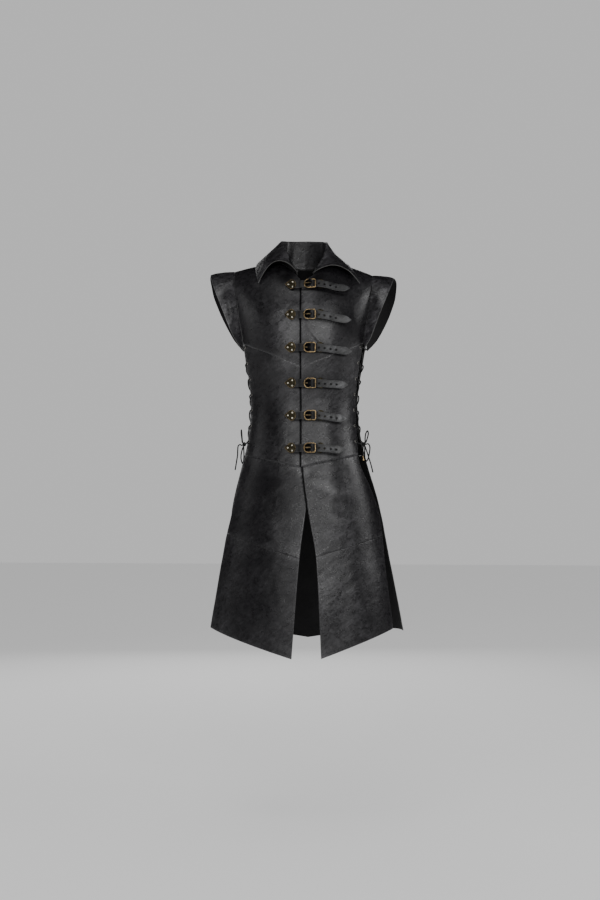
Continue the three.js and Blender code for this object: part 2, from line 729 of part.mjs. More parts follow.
function buckleGeometry() {
  const { left, right, half, wire } = BUCKLE;
  const outline = (inset, bow, corner) => {
    const path = new THREE.Path();
    const [l, r, h] = [left + inset, right - inset, half - inset];
    path.moveTo(r, -h + corner);
    path.lineTo(r, h - corner);
    path.lineTo(r - corner, h);
    path.lineTo(l + bow, h);
    path.quadraticCurveTo(l, h, l, h - bow);
    path.lineTo(l, -h + bow);
    path.quadraticCurveTo(l, -h, l + bow, -h);
    path.lineTo(r - corner, -h);
    return path.getPoints(3);
  };
  const shape = new THREE.Shape(outline(0, 9, 1.5));
  shape.holes.push(new THREE.Path(outline(wire, 6.5, 0.6).reverse()));
  const frame = new THREE.ExtrudeGeometry(shape, {
    depth: wire - 1.2,
    bevelThickness: 0.6,
    bevelSize: 0.6,
    bevelOffset: -0.6,
    bevelSegments: 1,
  });
  frame.translate(0, 0, -(wire - 1.2) / 2).rotateX(Math.PI / 2);
  const place = frame.attributes.position;
  for (let i = 0; i < place.count; i += 1) {
    const height = BUCKLE.height + (place.getX(i) - left - wire / 2) * BUCKLE.tilt;
    place.setY(i, place.getY(i) - height);
  }
  const bar = new THREE.CylinderGeometry(BAR.radius, BAR.radius, 2 * half - wire, 6);
  bar.rotateX(Math.PI / 2).translate(BAR.x, -BAR.height, 0);
  return join(frame, bar);
}

function tongueGeometry() {
  const outline = [
    ...arcPoints(BAR.loop, 120, -180, 7),
    [19.5, FRONT_FACE + 6.5],
    [14, FRONT_FACE + 6.4],
    [9, FRONT_FACE + 6.2],
    [5.6, FRONT_FACE + 5.7],
    [5, FRONT_FACE + 6.7],
    [8.5, FRONT_FACE + 8.3],
    [14, FRONT_FACE + 8.7],
  ];
  return acrossWidth(outline, 3, [barHole()]);
}

function chapeGeometry() {
  const low = FRONT_FACE + GAP;
  const along = [72, 58, 44, 31];
  const top = along.map((x) => [x, low + CHAPE_WALL]);
  const under = along.map((x) => [x, low]).reverse();
  const outline = [...top, ...arcPoints(BAR.loop, -10, 262, 6), ...under];
  const strip = acrossWidth(outline, 18, [barHole()]);
  const slot = new THREE.BoxGeometry(7.4, 60, 3.8).translate(BAR.x - 0.1, 0, 0);
  return cut(strip, slot);
}

// A three-lobed plate with a domed rivet in each lobe. point: -1 or 1, the side that its single lobe faces.
function plateGeometry(x, height, point) {
  const centres = [
    [x + point * 9.5, 0],
    [x - point * 4, PLATE.lobe],
    [x - point * 4, -PLATE.lobe],
  ];
  const disc = ([cx, cz], radius, low, high, sides) =>
    new THREE.CylinderGeometry(radius, radius, high - low, sides).translate(cx, -(low + high) / 2, cz);
  const leaf = new THREE.Shape([
    new THREE.Vector2(x + point * 18.5, 0),
    new THREE.Vector2(x + point * 8, 7),
    new THREE.Vector2(x - point * 6, 14),
    new THREE.Vector2(x - point * 6, -14),
    new THREE.Vector2(x + point * 8, -7),
  ]);
  const web = new THREE.ExtrudeGeometry(leaf, { depth: PLATE.wall, bevelEnabled: false });
  web.rotateX(Math.PI / 2).translate(0, -height, 0);
  const top = height + PLATE.wall;
  const parts = [web];
  centres.forEach((centre, i) => {
    const radius = i === 0 ? PLATE.radius * 0.75 : PLATE.radius;
    parts.push(disc(centre, radius, height, top, 7));
    const dome = new THREE.SphereGeometry(PLATE.dome, 6, 3);
    dome.scale(1, PLATE.rise / PLATE.dome, 1).translate(centre[0], -top, centre[1]);
    parts.push(dome);
  });
  const skim = new THREE.BoxGeometry(80, 20, 80).translate(x, -height + 10, 0);
  return cut(join(...parts), skim);
}

function addStraps() {
  STRAPS.forEach((strap, i) => {
    const number = i + 1;
    const bent = (geometry) => bendOntoFront(geometry, strap.z);
    const rootTop = LEATHER + GAP + SEAT + STRAP.wall + GAP;
    const chapeTop = FRONT_FACE + GAP + CHAPE_WALL;
    add("strap_" + number, bent(strapGeometry(strap)), strapLeather);
    add("root_plate_" + number, bent(plateGeometry(-26.5, rootTop, -1)), brass);
    const riveted = join(chapeGeometry(), plateGeometry(50, chapeTop - SUNK, 1));
    add("chape_" + number, bent(riveted), strapLeather);
    add("buckle_" + number, bent(buckleGeometry()), brass);
    add("tongue_" + number, bent(tongueGeometry()), brass);
  });
}

// ---------------------------------------------------------------- side laces
// One lace runs down each side: from the top pair of eyelets its halves cross to the next row, over and
// under each other, seven rows down, and end beside the knot.
function laceRoute(name) {
  const over = LEATHER + EYELET.proud + GAP + LACING.cord / 2 + 0.2;
  const aboveForm = (angle, z, face) =>
    formPoint(angle, z, face).addScaledVector(formNormal(angle, z, face), over);
  const hook = (face, z) => aboveForm(lacingAngle(face, name, z), z, face);
  const brim = (face, z) => aboveForm(edgeAngle(face, name)(z), z, face);
  const other = (face) => (face === "front" ? "back" : "front");
  // From one eyelet to just before the next: over the panel's edge, through the middle, to the other edge.
  const crossing = (face, z, nextZ, lifted) => {
    const leave = brim(face, mix(z, nextZ, LACING.lead));
    const reach = brim(other(face), mix(nextZ, z, LACING.lead));
    const middle = leave.clone().lerp(reach, 0.5).add(new THREE.Vector3(lifted, 0, 0));
    return [hook(face, z), leave, middle, reach];
  };
  const strand = (first, lifted) => {
    const points = [];
    let face = first;
    for (let row = 0; row < LACING.rows - 1; row += 1) {
      points.push(...crossing(face, lacingHeight(row), lacingHeight(row + 1), lifted));
      face = other(face);
    }
    const last = lacingHeight(LACING.rows - 1);
    const leave = brim(face, mix(last, last - LACING.pitch, LACING.lead));
    const knot = new THREE.Vector3(KNOT.x[name], KNOT.y, KNOT.z);
    return [...points, hook(face, last), leave, knot.lerp(leave, KNOT.reach)];
  };
  const bar = crossing("front", LACING.top, LACING.top, 0).slice(1);
  const route = [...strand("front", LACING.rise).reverse(), ...bar, ...strand("back", -LACING.rise)];
  return route.map((p) => [SIDES[name] * p.x, p.y, p.z]);
}

// Knots, loops and free ends, as the wearer's left side has them: x grows outwards.
const BOWS = {
  right: [
    {
      name: "loop_up",
      ends: "loop",
      route: [[170, -24, -500], [171, -31, -486], [172, -31, -472], [174, -22, -465],
        [175.5, -12, -472], [174, -11, -487], [171.5, -17, -500]],
    },
    {
      name: "loop_down",
      ends: "loop",
      route: [[168, -25, -511.5], [172, -31, -525], [174, -32, -540], [173, -28, -552],
        [171, -20, -558], [169, -12, -552], [168, -9, -538], [168, -11, -524], [168, -16, -511.5]],
    },
    {
      name: "tail",
      ends: "bare",
      route: [[173, -20.5, -508], [178, -20.5, -506], [182.5, -21, -509], [184, -22, -521],
        [184.5, -23, -535], [187, -24, -552], [191, -25, -577]],
    },
  ],
  left: [
    {
      name: "loop_up",
      ends: "loop",
      route: [[171, -24, -500], [171.5, -31, -487], [173.5, -31, -475], [178, -22, -468],
        [180, -12, -476], [177, -11, -489], [173, -17, -500]],
    },
    {
      name: "loop_down",
      ends: "loop",
      route: [[173.5, -22, -505], [180, -25, -504], [184.5, -30, -512], [183.5, -33, -528],
        [180, -31, -544], [175, -22, -552], [171, -13, -544], [170, -10, -528], [170, -15, -511.5]],
    },
    {
      name: "tail_long",
      ends: "bare",
      route: [[171, -25, -510.5], [174, -29, -519], [178, -38, -530], [183, -41, -546],
        [188, -40, -562], [193, -39, -583]],
    },
    {
      name: "tail_short",
      ends: "aglet",
      route: [[166, -24, -511.5], [165.5, -27, -520], [165, -29, -529], [165, -30, -537]],
    },
  ],
};

// What a cord's end covers of the way from the knot's middle to its first free point.
const KNOT = { x: { right: 166, left: 167 }, y: -20, z: -505, size: [5.5, 6.5, 6], reach: 0.12 };
const AGLET = { from: [165.1, -30.2, -537.5], to: [167.5, -31, -551], radius: 2.1 };

function knotGeometry(name, grown) {
  const ball = new THREE.SphereGeometry(1, 8, 6).scale(...KNOT.size.map((half) => half + grown));
  return ball.translate(SIDES[name] * KNOT.x[name], KNOT.y, KNOT.z);
}

// The cords' ends run into the knot and stop at its surface.
function addLaces(name) {
  const side = SIDES[name];
  const hollow = knotGeometry(name, GAP);
  add("lace_" + name, cut(tube(laceRoute(name), LACING.cord, 1), hollow), cordMaterial);
  add("knot_" + name, knotGeometry(name, 0), cordMaterial);
  const knot = [KNOT.x[name], KNOT.y, KNOT.z];
  const inside = (point) => knot.map((value, axis) => mix(value, point[axis], 0.4));
  for (const piece of BOWS[name]) {
    const route = [inside(piece.route[0]), ...piece.route];
    if (piece.ends === "loop") route.push(inside(piece.route[piece.route.length - 1]));
    const points = route.map(([x, y, z]) => [side * x, y, z]);
    add(piece.name + "_" + name, cut(tube(points, LACING.cord, 2), hollow), cordMaterial);
  }
}

function addAglet() {
  const [from, to] = [new THREE.Vector3(...AGLET.from), new THREE.Vector3(...AGLET.to)];
  const axis = to.clone().sub(from);
  const sleeve = new THREE.CylinderGeometry(AGLET.radius * 0.8, AGLET.radius, axis.length(), 10);
  const down = new THREE.Vector3(0, -1, 0);
  const turn = new THREE.Quaternion().setFromUnitVectors(down, axis.clone().normalize());
  sleeve.applyQuaternion(turn);
  const middle = from.lerp(to, 0.5);
  add("aglet_left", sleeve.translate(middle.x, middle.y, middle.z), brass);
}

// ---------------------------------------------------------------- the jerkin
for (const name of Object.keys(SIDES)) {
  addFront(name);
  addWing(name);
  addLaces(name);
}
addBack();
addCollar();
addStraps();
addAglet();

export default jerkin;
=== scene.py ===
"""A sleeveless long leather jerkin: panels, collar, wings, buckled straps and side laces.

Sizes are in millimetres, as a maker would cut them, and become metres when a mesh is made. The front faces
-Y and the wearer's left is +X. Names ending in right and left are the wearer's own sides.
"""

from __future__ import annotations

import json
import logging
import math
from dataclasses import dataclass, field
from enum import Enum
from typing import Callable, Sequence

import bmesh
import bpy
import numpy as np
from mathutils import Matrix, Vector, noise

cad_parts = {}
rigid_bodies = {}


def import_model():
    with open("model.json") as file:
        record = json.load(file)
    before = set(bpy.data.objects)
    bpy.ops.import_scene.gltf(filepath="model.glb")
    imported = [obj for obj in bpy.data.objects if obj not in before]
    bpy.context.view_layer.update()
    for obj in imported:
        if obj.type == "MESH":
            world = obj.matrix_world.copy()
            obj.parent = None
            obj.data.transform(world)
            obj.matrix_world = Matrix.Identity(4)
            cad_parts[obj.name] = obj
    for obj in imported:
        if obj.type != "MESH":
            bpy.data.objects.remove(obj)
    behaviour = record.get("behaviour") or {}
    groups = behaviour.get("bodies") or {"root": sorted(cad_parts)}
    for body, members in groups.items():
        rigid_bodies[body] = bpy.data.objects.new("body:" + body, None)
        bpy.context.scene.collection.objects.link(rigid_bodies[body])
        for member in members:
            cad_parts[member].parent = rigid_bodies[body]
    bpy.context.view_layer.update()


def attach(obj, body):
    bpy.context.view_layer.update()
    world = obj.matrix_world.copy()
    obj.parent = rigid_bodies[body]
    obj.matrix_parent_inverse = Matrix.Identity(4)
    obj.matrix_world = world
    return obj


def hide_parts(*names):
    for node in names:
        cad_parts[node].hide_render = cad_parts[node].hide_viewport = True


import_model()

LOG = logging.getLogger("jerkin")
MM = 0.001
TURN = 2 * math.pi
SKIRT_SEAMS = -620  # seams below this height lie flatter than those of the body

Array = np.ndarray
BMesh = bmesh.types.BMesh
Socket = bpy.types.NodeSocket
Material = bpy.types.Material
Line = Callable[[Array], Array]
Place = tuple[float, float, float]
Colour = tuple[float, float, float]


class Face(Enum):
    """The half of the body form that a panel lies on."""

    FRONT = "front"
    BACK = "back"

    @property
    def other(self) -> Face:
        """The opposite half."""
        return Face.BACK if self is Face.FRONT else Face.FRONT


class Side(Enum):
    """The wearer's own side; the value is the sign of X there."""

    RIGHT = -1
    LEFT = 1

    @property
    def word(self) -> str:
        """The side's word, as node names end in it."""
        return self.name.lower()


# ------------------------------------------------------------------ camera
@dataclass(frozen=True)
class SoftBox:
    """A soft rectangular light.

    Attributes:
        name: the light's name.
        place: where it stands, in metres.
        aim: the point it faces.
        size: its width and height.
        watts: its power.
    """

    name: str
    place: Place
    aim: Place
    size: tuple[float, float]
    watts: float

    def build(self) -> None:
        """Add the light."""
        data = bpy.data.lights.new(self.name, "AREA")
        data.shape = "RECTANGLE"
        data.size, data.size_y = self.size
        data.energy = self.watts
        light = bpy.data.objects.new(self.name, data)
        light.location = self.place
        light.rotation_euler = (Vector(self.aim) - Vector(self.place)).to_track_quat("-Z", "Y").to_euler()
        bpy.context.collection.objects.link(light)


@dataclass(frozen=True)
class Studio:
    """Where the camera and the lights stand, and the floor.

    Attributes:
        turn: the camera's angle round the jerkin from straight in front, in degrees.
        distance: from the camera to the jerkin's own axis, in metres.
        level: height of the camera, in metres.
        aside: how far the camera stands to its own left of the axis, in metres.
        lens: focal length for the sensor's width.
        sensor: width of the sensor.
        floor: height of the floor, in metres.
        floor_half: half the floor's width.
        room: strength of the light from the pale room.
        boxes: the soft lights.
    """

    turn: float = 3.5
    distance: float = 4.0
    level: float = -0.521
    aside: float = 0.0112
    lens: float = 57.14
    sensor: float = 36
    floor: float = -1.56
    floor_half: float = 9
    room: float = 0.6
    boxes: tuple[SoftBox, ...] = (
        SoftBox("key_light", (1.25, -3.2, 0.5), (0.06, 0, -0.4), (0.5, 0.9), 17),
        SoftBox("front_light", (-0.25, -3.7, 0.25), (0.0, 0, -0.25), (0.35, 0.5), 15),
        SoftBox("side_light", (2.9, -0.6, 0.45), (0.2, 0, -0.2), (0.9, 1.3), 19),
        SoftBox("top_light", (-0.3, -1.6, 1.9), (0.0, -0.1, -0.2), (1.2, 0.8), 9),
        SoftBox("fill_light", (-2.9, -0.9, 0.35), (0, 0, -0.2), (0.8, 1.3), 5),
        SoftBox("back_light", (-0.4, 3.2, 0.1), (0, 0, -0.4), (2.0, 2.0), 18),
        SoftBox("rim_light", (-2.0, 2.4, 0.6), (0, 0, -0.4), (1.2, 1.8), 10))

    def build(self) -> None:
        """Set up camera, lights, world and floor."""
        a = math.radians(self.turn)
        right = Vector((math.cos(a), math.sin(a), 0))
        forward = Vector((-math.sin(a), math.cos(a), 0))
        data = bpy.data.cameras.new("camera")
        data.lens = self.lens
        data.sensor_width = self.sensor
        data.sensor_fit = "AUTO"
        data.dof.use_dof = False
        camera = bpy.data.objects.new("camera", data)
        camera.location = -forward * self.distance - right * self.aside + Vector((0, 0, self.level))
        camera.rotation_euler = (math.pi / 2, 0, a)
        bpy.context.collection.objects.link(camera)
        bpy.context.scene.camera = camera
        for box in self.boxes:
            box.build()
        self.surroundings()
        self.ground()

    def surroundings(self) -> None:
        """Add the pale room, whose light isn't seen in glossy leather."""
        world = bpy.data.worlds.new("pale_room")
        world.use_nodes = True
        background = world.node_tree.nodes["Background"]
        background.inputs["Color"].default_value = (1, 1, 1, 1)
        background.inputs["Strength"].default_value = self.room
        world.cycles_visibility.glossy = False
        bpy.context.scene.world = world

    def ground(self) -> None:
        """Add the plain pale floor."""
        bm = bmesh.new()
        bmesh.ops.create_grid(bm, x_segments=2, y_segments=2, size=self.floor_half)
        bmesh.ops.translate(bm, verts=bm.verts, vec=(0, 0, self.floor))
        mesh = settled(bm, "floor")
        floor = bpy.data.objects.new("floor", mesh)
        bpy.context.collection.objects.link(floor)
        mesh.materials.append(PaleGround().material())


# ------------------------------------------------------------------ finishes
class Nodes:
    """A material's node tree, with short ways to add and join nodes."""

    def __init__(self, name: str) -> None:
        """Start a material with a Principled shader.

        Args:
            name: the material's name.
        """
        self.made = bpy.data.materials.new(name)
        self.made.use_nodes = True
        self.tree = self.made.node_tree
        self.shader = self.tree.nodes["Principled BSDF"]

    def feed(self, socket: Socket, value: object) -> None:
        """Give a socket a value, or join another node's socket to it.

        Args:
            socket: the socket that is fed.
            value: a number, a colour, a direction or a socket.
        """
        if isinstance(value, Socket):
            self.tree.links.new(value, socket)
        else:
            socket.default_value = (*value, 1) if socket.type == "RGBA" else value

    def add(self, kind: str, inputs: dict | None = None, **settings: object) -> bpy.types.Node:
        """Add a node.

        Args:
            kind: the node's type.
            inputs: socket name or number to a value or another node's socket.
            **settings: the node's own properties.

        Returns:
            The new node.
        """
        node = self.tree.nodes.new(kind)
        for key, value in settings.items():
            setattr(node, key, value)
        for key, value in (inputs or {}).items():
            self.feed(node.inputs[key], value)
        return node

    def point(self, source: str = "Object") -> Socket:
        """The coordinates that a pattern follows."""
        return self.add("ShaderNodeTexCoord").outputs[source]

    def noise(self, at: Socket, scale: float, detail: float = 4, rough: float = 0.55,
              distortion: float = 0.0) -> Socket:
        """A noise pattern's value.

        Args:
            at: coordinates.
            scale: size of the pattern, larger is finer.
            detail: octaves.
            rough: share of the finer octaves.
            distortion: how far it is stirred.

        Returns:
            The socket of its value.
        """
        node = self.add("ShaderNodeTexNoise", {"Vector": at, "Scale": scale, "Detail": detail,
                                               "Roughness": rough, "Distortion": distortion})
        return node.outputs["Fac"]

    def span(self, value: Socket, low: float, high: float, to_low: float = 0.0, to_high: float = 1.0
             ) -> Socket:
        """A value stretched from one range to another, held at its ends.

        Args:
            value: the socket to stretch.
            low: value that becomes to_low.
            high: value that becomes to_high.
            to_low: first end of the new range.
            to_high: last end of the new range.

        Returns:
            The stretched socket.
        """
        node = self.add("ShaderNodeMapRange", {"Value": value, "From Min": low, "From Max": high,
                                               "To Min": to_low, "To Max": to_high})
        return node.outputs["Result"]

    def math(self, how: str, a: object, b: object = 0.0) -> Socket:
        """The result of the named operation on one or two values."""
        return self.add("ShaderNodeMath", {0: a, 1: b}, operation=how).outputs[0]

    def plus(self, a: object, b: object) -> Socket:
        """The sum of two values."""
        return self.math("ADD", a, b)

    def times(self, a: object, b: object) -> Socket:
        """The product of two values."""
        return self.math("MULTIPLY", a, b)

    def mix(self, share: object, a: object, b: object) -> Socket:
        """A colour between two, by a share.

        Args:
            share: 0 gives a, 1 gives b.
            a: first colour or socket.
            b: second colour or socket.

        Returns:
            The socket of the colour.
        """
        return self.add("ShaderNodeMix", {0: share, 6: a, 7: b}, data_type="RGBA").outputs[2]

    def turned(self, at: Socket, turn: Place, scale: Place) -> Socket:
        """Coordinates turned and then stretched, for a pattern with a direction.

        Args:
            at: coordinates.
            turn: angles round X, Y and Z.
            scale: of the pattern along its own axes.

        Returns:
            The socket of the coordinates.
        """
        inputs = {"Vector": at, "Rotation": turn, "Scale": tuple(1 / s for s in scale)}
        return self.add("ShaderNodeMapping", inputs, vector_type="TEXTURE").outputs["Vector"]

    def crossings(self, value: Socket, width: float) -> Socket:
        """Thin lines where a noise passes its middle."""
        return self.span(self.math("ABSOLUTE", self.math("SUBTRACT", value, 0.5)), 0.0, width, 1.0, 0.0)

    def attribute(self, name: str) -> Socket:
        """A mesh attribute's value."""
        return self.add("ShaderNodeAttribute", attribute_name=name).outputs["Fac"]

    def bump(self, height: Socket, depth: float, strength: float = 1.0, below: Socket | None = None
             ) -> Socket:
        """A bump from a height.

        Args:
            height: the socket of the height, 0 to 1.
            depth: the height of 1, in metres.
            strength: share of the bump.
            below: a bump that this one lies on.

        Returns:
            The socket of the normal.
        """
        inputs = {"Height": height, "Distance": depth, "Strength": strength}
        if below is not None:
            inputs["Normal"] = below
        return self.add("ShaderNodeBump", inputs).outputs["Normal"]

    def finish(self, **inputs: object) -> Material:
        """Set the shader's sockets.

        Args:
            **inputs: socket names, with _ for a space, to values or sockets.

        Returns:
            The finished material.
        """
        for key, value in inputs.items():
            self.feed(self.shader.inputs[key.replace("_", " ")], value)
        return self.made


@dataclass(frozen=True)
class RubbedLeather:
    """Waxed black leather that rubs to grey, with fine grain, scuffs and pale worn edges, and painted
    highlights and painted shade.

    Attributes:
        name: the material's name.
        base: colour where it isn't rubbed.
        rubbed: colour of the scuffs, and of the painted highlights.
        worn: colour of the worn edges.
        gloss: roughness where it is polished.
        dull: roughness where it isn't.
        shade: colour of the hollows that no light reaches.
        scales: of the patches, the mottling, the fine grain, the scratches, the pores and the swells.
        brushed: turn and scale of the strokes that the wax was brushed on in.
        hairs: turn and scale of the long fine scratches.
        dents: turn and scale of the shallow dents.
        depths: heights of pores, grain, dents and swells, in metres.
    """

    name: str = "rubbed_leather"
    base: Colour = (0.0078, 0.0073, 0.0084)
    rubbed: Colour = (0.078, 0.075, 0.082)
    worn: Colour = (0.11, 0.11, 0.113)
    gloss: float = 0.24
    dull: float = 0.42
    shade: Colour = (0.0015, 0.0015, 0.0018)
    scales: tuple[float, ...] = (11, 52, 230, 26, 560, 14)
    brushed: tuple[Place, Place] = ((0, -0.62, 0), (34, 50, 130))
    hairs: tuple[Place, Place] = ((0, 0.8, 0), (18, 40, 80))
    dents: tuple[Place, Place] = ((0, -0.62, 0), (26, 36, 54))
    depths: tuple[float, ...] = (0.0001, 0.0002, 0.0013, 0.0036)

    def material(self) -> Material:
        """Build the material.

        Returns:
            The material.
        """
        n = Nodes(self.name)
        at = n.point()
        patch_scale, mottle_scale, fine_scale, scratch_scale, pore_scale, swell_scale = self.scales
        patches = n.noise(at, patch_scale, 4, 0.6, 0.8)
        mottle = n.noise(at, mottle_scale, 6, 0.66, 1.4)
        fine = n.noise(at, fine_scale, 5, 0.7, 0.8)
        brushed = n.noise(n.turned(at, *self.brushed), 1.0, 5, 0.68, 1.6)
        scratch = n.crossings(n.noise(at, scratch_scale, 2, 0.5, 1.4), 0.009)
        hair = n.crossings(n.noise(n.turned(at, *self.hairs), 1.0, 2, 0.5, 1.0), 0.012)
        rub, edge = n.attribute("rub"), n.attribute("wear")
        area = n.span(patches, 0.38, 0.62)
        smoky = n.span(mottle, 0.44, 0.68)
        marks = n.times(n.plus(scratch, hair), n.times(smoky, n.span(fine, 0.36, 0.56)))
        haze = n.times(smoky, n.span(area, 0, 1, 0.1, 0.55))
        haze = n.plus(haze, n.times(n.span(brushed, 0.46, 0.68), n.span(area, 0, 1, 0.2, 0.6)))
        haze = n.plus(haze, n.times(marks, 0.55))
        haze = n.plus(haze, n.times(n.math("SUBTRACT", fine, 0.5), 0.25))
        # The rub field lightens the leather both where it is rubbed and where highlights are painted; where
        # shade is painted it is kept low.
        haze = n.times(n.plus(haze, 0.04), n.plus(rub, 0.12))
        colour = n.mix(n.span(haze, 0, 1.2), self.base, self.rubbed)
        ragged = n.times(edge, n.span(fine, 0.3, 0.6, 0.3, 1))
        colour = n.mix(n.span(ragged, 0.12, 0.95), colour, self.worn)
        # Below 0 the edge field is painted shade: the shadows cast by the overlapping front, the straps and
        # the collar's points, and the dark in punched holes and under the buckles.
        colour = n.mix(n.span(edge, 0, -1), colour, self.shade)
        pores = n.add("ShaderNodeTexVoronoi", {"Vector": at, "Scale": pore_scale, "Randomness": 1.0},
                      feature="DISTANCE_TO_EDGE").outputs["Distance"]
        pore_depth, grain_depth, dent_depth, swell_depth = self.depths
        grain = n.bump(n.span(pores, 0, 0.34), pore_depth, 0.8)
        grain = n.bump(fine, grain_depth, 0.5, grain)
        grain = n.bump(n.noise(n.turned(at, *self.dents), 1.0, 1.6, 0.45, 0.6), dent_depth, 0.75, grain)
        grain = n.bump(n.noise(at, swell_scale, 1.0, 0.4, 0.4), swell_depth, 0.7, grain)
        rough = n.span(n.plus(fine, mottle), 0.75, 1.25, self.gloss, self.dull)
        # The painted shade also takes away the gloss, so that it stays dark.
        shine = n.times(n.span(rub, 0, 1.1, 0.2, 1.0), n.span(edge, -0.8, 0, 0.04, 1))
        return n.finish(Base_Color=colour, Roughness=rough, Normal=grain, Specular_IOR_Level=shine)


@dataclass(frozen=True)
class PlainSide:
    """The raw back of the leather, its cut edge, or thread: fibrous, with no gloss.

    Attributes:
        name: the material's name.
        colour: its darker colour.
        fluff: its lighter colour.
    """

    name: str
    colour: Colour
    fluff: Colour

    def material(self) -> Material:
        """Build the material.

        Returns:
            The material.
        """
        n = Nodes(self.name)
        at = n.point()
        nap = n.noise(at, 420, 6, 0.7, 0.6)
        tone = n.noise(at, 24, 4, 0.6)
        share = n.plus(n.span(nap, 0.35, 0.7, 0, 0.6), n.span(tone, 0.35, 0.7, 0, 0.4))
        return n.finish(Base_Color=n.mix(share, self.colour, self.fluff), Roughness=0.88,
                        Normal=n.bump(nap, 0.0004, 0.6), Specular_IOR_Level=0.25)


@dataclass(frozen=True)
class AgedBrass:
    """Cast brass gone brown in its hollows and bright on its raised parts.

    Attributes:
        name: the material's name.
        bright: colour where it is rubbed.
        dark: colour of the tarnish.
        tarnish: share of tarnish.
        gloss: roughness where it is bright.
        spread: how softly bright turns to dark.
        dullness: how much rougher the tarnish is.
    """

    name: str = "aged_brass"
    bright: Colour = (0.68, 0.49, 0.26)
    dark: Colour = (0.05, 0.035, 0.018)
    tarnish: float = 0.46
    gloss: float = 0.26
    spread: float = 0.26
    dullness: float = 0.22

    def material(self) -> Material:
        """Build the material.

        Returns:
            The material.
        """
        n = Nodes(self.name)
        at = n.point()
        cloud = n.noise(at, 240, 6, 0.66, 0.5)
        speck = n.noise(at, 1100, 4, 0.6)
        raised = n.plus(cloud, n.times(n.attribute("wear"), 0.3))
        share = n.span(raised, self.tarnish, self.tarnish + self.spread)
        rough = n.span(cloud, 0.35, 0.7, self.gloss + self.dullness, self.gloss)
        return n.finish(Base_Color=n.mix(share, self.dark, self.bright), Metallic=1.0, Roughness=rough,
                        Normal=n.bump(n.plus(cloud, speck), 0.00012, 0.5))


@dataclass(frozen=True)
class WaxedCord:
    """Round black braided cord.

    Attributes:
        name: the material's name.
        colour: of the strands.
        crown: of the strands' rubbed tops.
        pitch: length of one plait, in metres.
        strands: plaits side by side round the cord.
    """

    name: str = "waxed_cord"
    colour: Colour = (0.004, 0.004, 0.0045)
    crown: Colour = (0.02, 0.02, 0.022)
    pitch: float = 0.0042
    strands: int = 4

    def material(self) -> Material:
        """Build the material; its UV map runs along the cord in metres and once round it.

        Returns:
            The material.
        """
        n = Nodes(self.name)
        parts = n.add("ShaderNodeSeparateXYZ", {0: n.point("UV")}).outputs
        along = n.times(parts[0], TURN / self.pitch)
        round_it = n.times(parts[1], self.strands * TURN)
        one = n.math("SINE", n.plus(along, round_it))
        other = n.math("SINE", n.math("SUBTRACT", along, round_it))
        plait = n.span(n.times(one, other), -1, 1)
        fuzz = n.noise(n.point(), 1500, 3, 0.6)
        colour = n.mix(n.times(plait, n.span(fuzz, 0.3, 0.7)), self.colour, self.crown)
        normal = n.bump(fuzz, 0.0001, 0.4, n.bump(plait, 0.0004, 0.8))
        return n.finish(Base_Color=colour, Roughness=0.66, Normal=normal, Specular_IOR_Level=0.3)


@dataclass(frozen=True)
class PaleGround:
    """The plain floor's paint."""

    name: str = "pale_ground"
    colour: Colour = (0.9, 0.9, 0.9)

    def material(self) -> Material:
        """Build the material."""
        return Nodes(self.name).finish(Base_Color=self.colour, Roughness=0.9, Specular_IOR_Level=0.1)


class Finishes:
    """Every finish of the jerkin, built once."""

    def __init__(self) -> None:
        """Build the materials."""
        self.leather = RubbedLeather().material()
        self.strap = RubbedLeather("strap_leather", (0.012, 0.012, 0.0125), (0.12, 0.122, 0.128),
                                   (0.15, 0.15, 0.152), 0.34, 0.54).material()
        self.cut = PlainSide("cut_edge", (0.02, 0.0195, 0.019), (0.12, 0.118, 0.115)).material()
        self.flesh = PlainSide("flesh_side", (0.004, 0.004, 0.0045), (0.014, 0.0135, 0.014)).material()
        self.brass = AgedBrass().material()
        self.plate = AgedBrass("plate_brass", (0.07, 0.06, 0.036), (0.012, 0.011, 0.008), 0.5, 0.4).material()
        self.rivet = AgedBrass("rivet_brass", (0.98, 0.92, 0.76), (0.4, 0.34, 0.24), 0.2, 0.2).material()
        self.dim = AgedBrass("dim_brass", (0.3, 0.22, 0.115), (0.026, 0.019, 0.011), 0.54, 0.34).material()
        self.eyelet = AgedBrass("eyelet_metal", (0.3, 0.29, 0.27), (0.06, 0.058, 0.055), 0.42, 0.3).material()
        self.cord = WaxedCord().material()
        self.thread = PlainSide("thread", (0.012, 0.012, 0.013), (0.06, 0.06, 0.062)).material()


# ------------------------------------------------------------------ the body form
def hermite(first: Array, last: Array, leave: Array, arrive: Array, t: Array) -> Array:
    """A smooth way from one value to another.

    Args:
        first: value at the start.
        last: value at the end.
        leave: slope at the start.
        arrive: slope at the end.
        t: place from 0 to 1.

    Returns:
        The value there.
    """
    return (first * (2 * t**3 - 3 * t**2 + 1) + leave * (t**3 - 2 * t**2 + t)
            + last * (3 * t**2 - 2 * t**3) + arrive * (t**3 - t**2))


def power(value: Array, exponent: float) -> Array:
    """A power that keeps the sign."""
    return np.sign(value) * np.abs(value) ** exponent


def ease(share: Array) -> Array:
    """A smooth step from 0 to 1."""
    share = np.clip(share, 0, 1)
    return share * share * (3 - 2 * share)


def mix(a: Array, b: Array, share: Array) -> Array:
    """A value between two, by a share."""
    return a + (b - a) * share


def hump(distance: Array, width: float) -> Array:
    """A round hump of height 1 at no distance."""
    return np.exp(-((distance / width) ** 2))


def fall(distance: Array, width: float) -> Array:
    """A value that falls off from 1 at no distance."""
    return np.exp(-distance / width)


def normalised(vectors: Array) -> Array:
    """Vectors along the last axis, each of length 1."""
    return vectors / np.maximum(np.linalg.norm(vectors, axis=-1, keepdims=True), 1e-9)


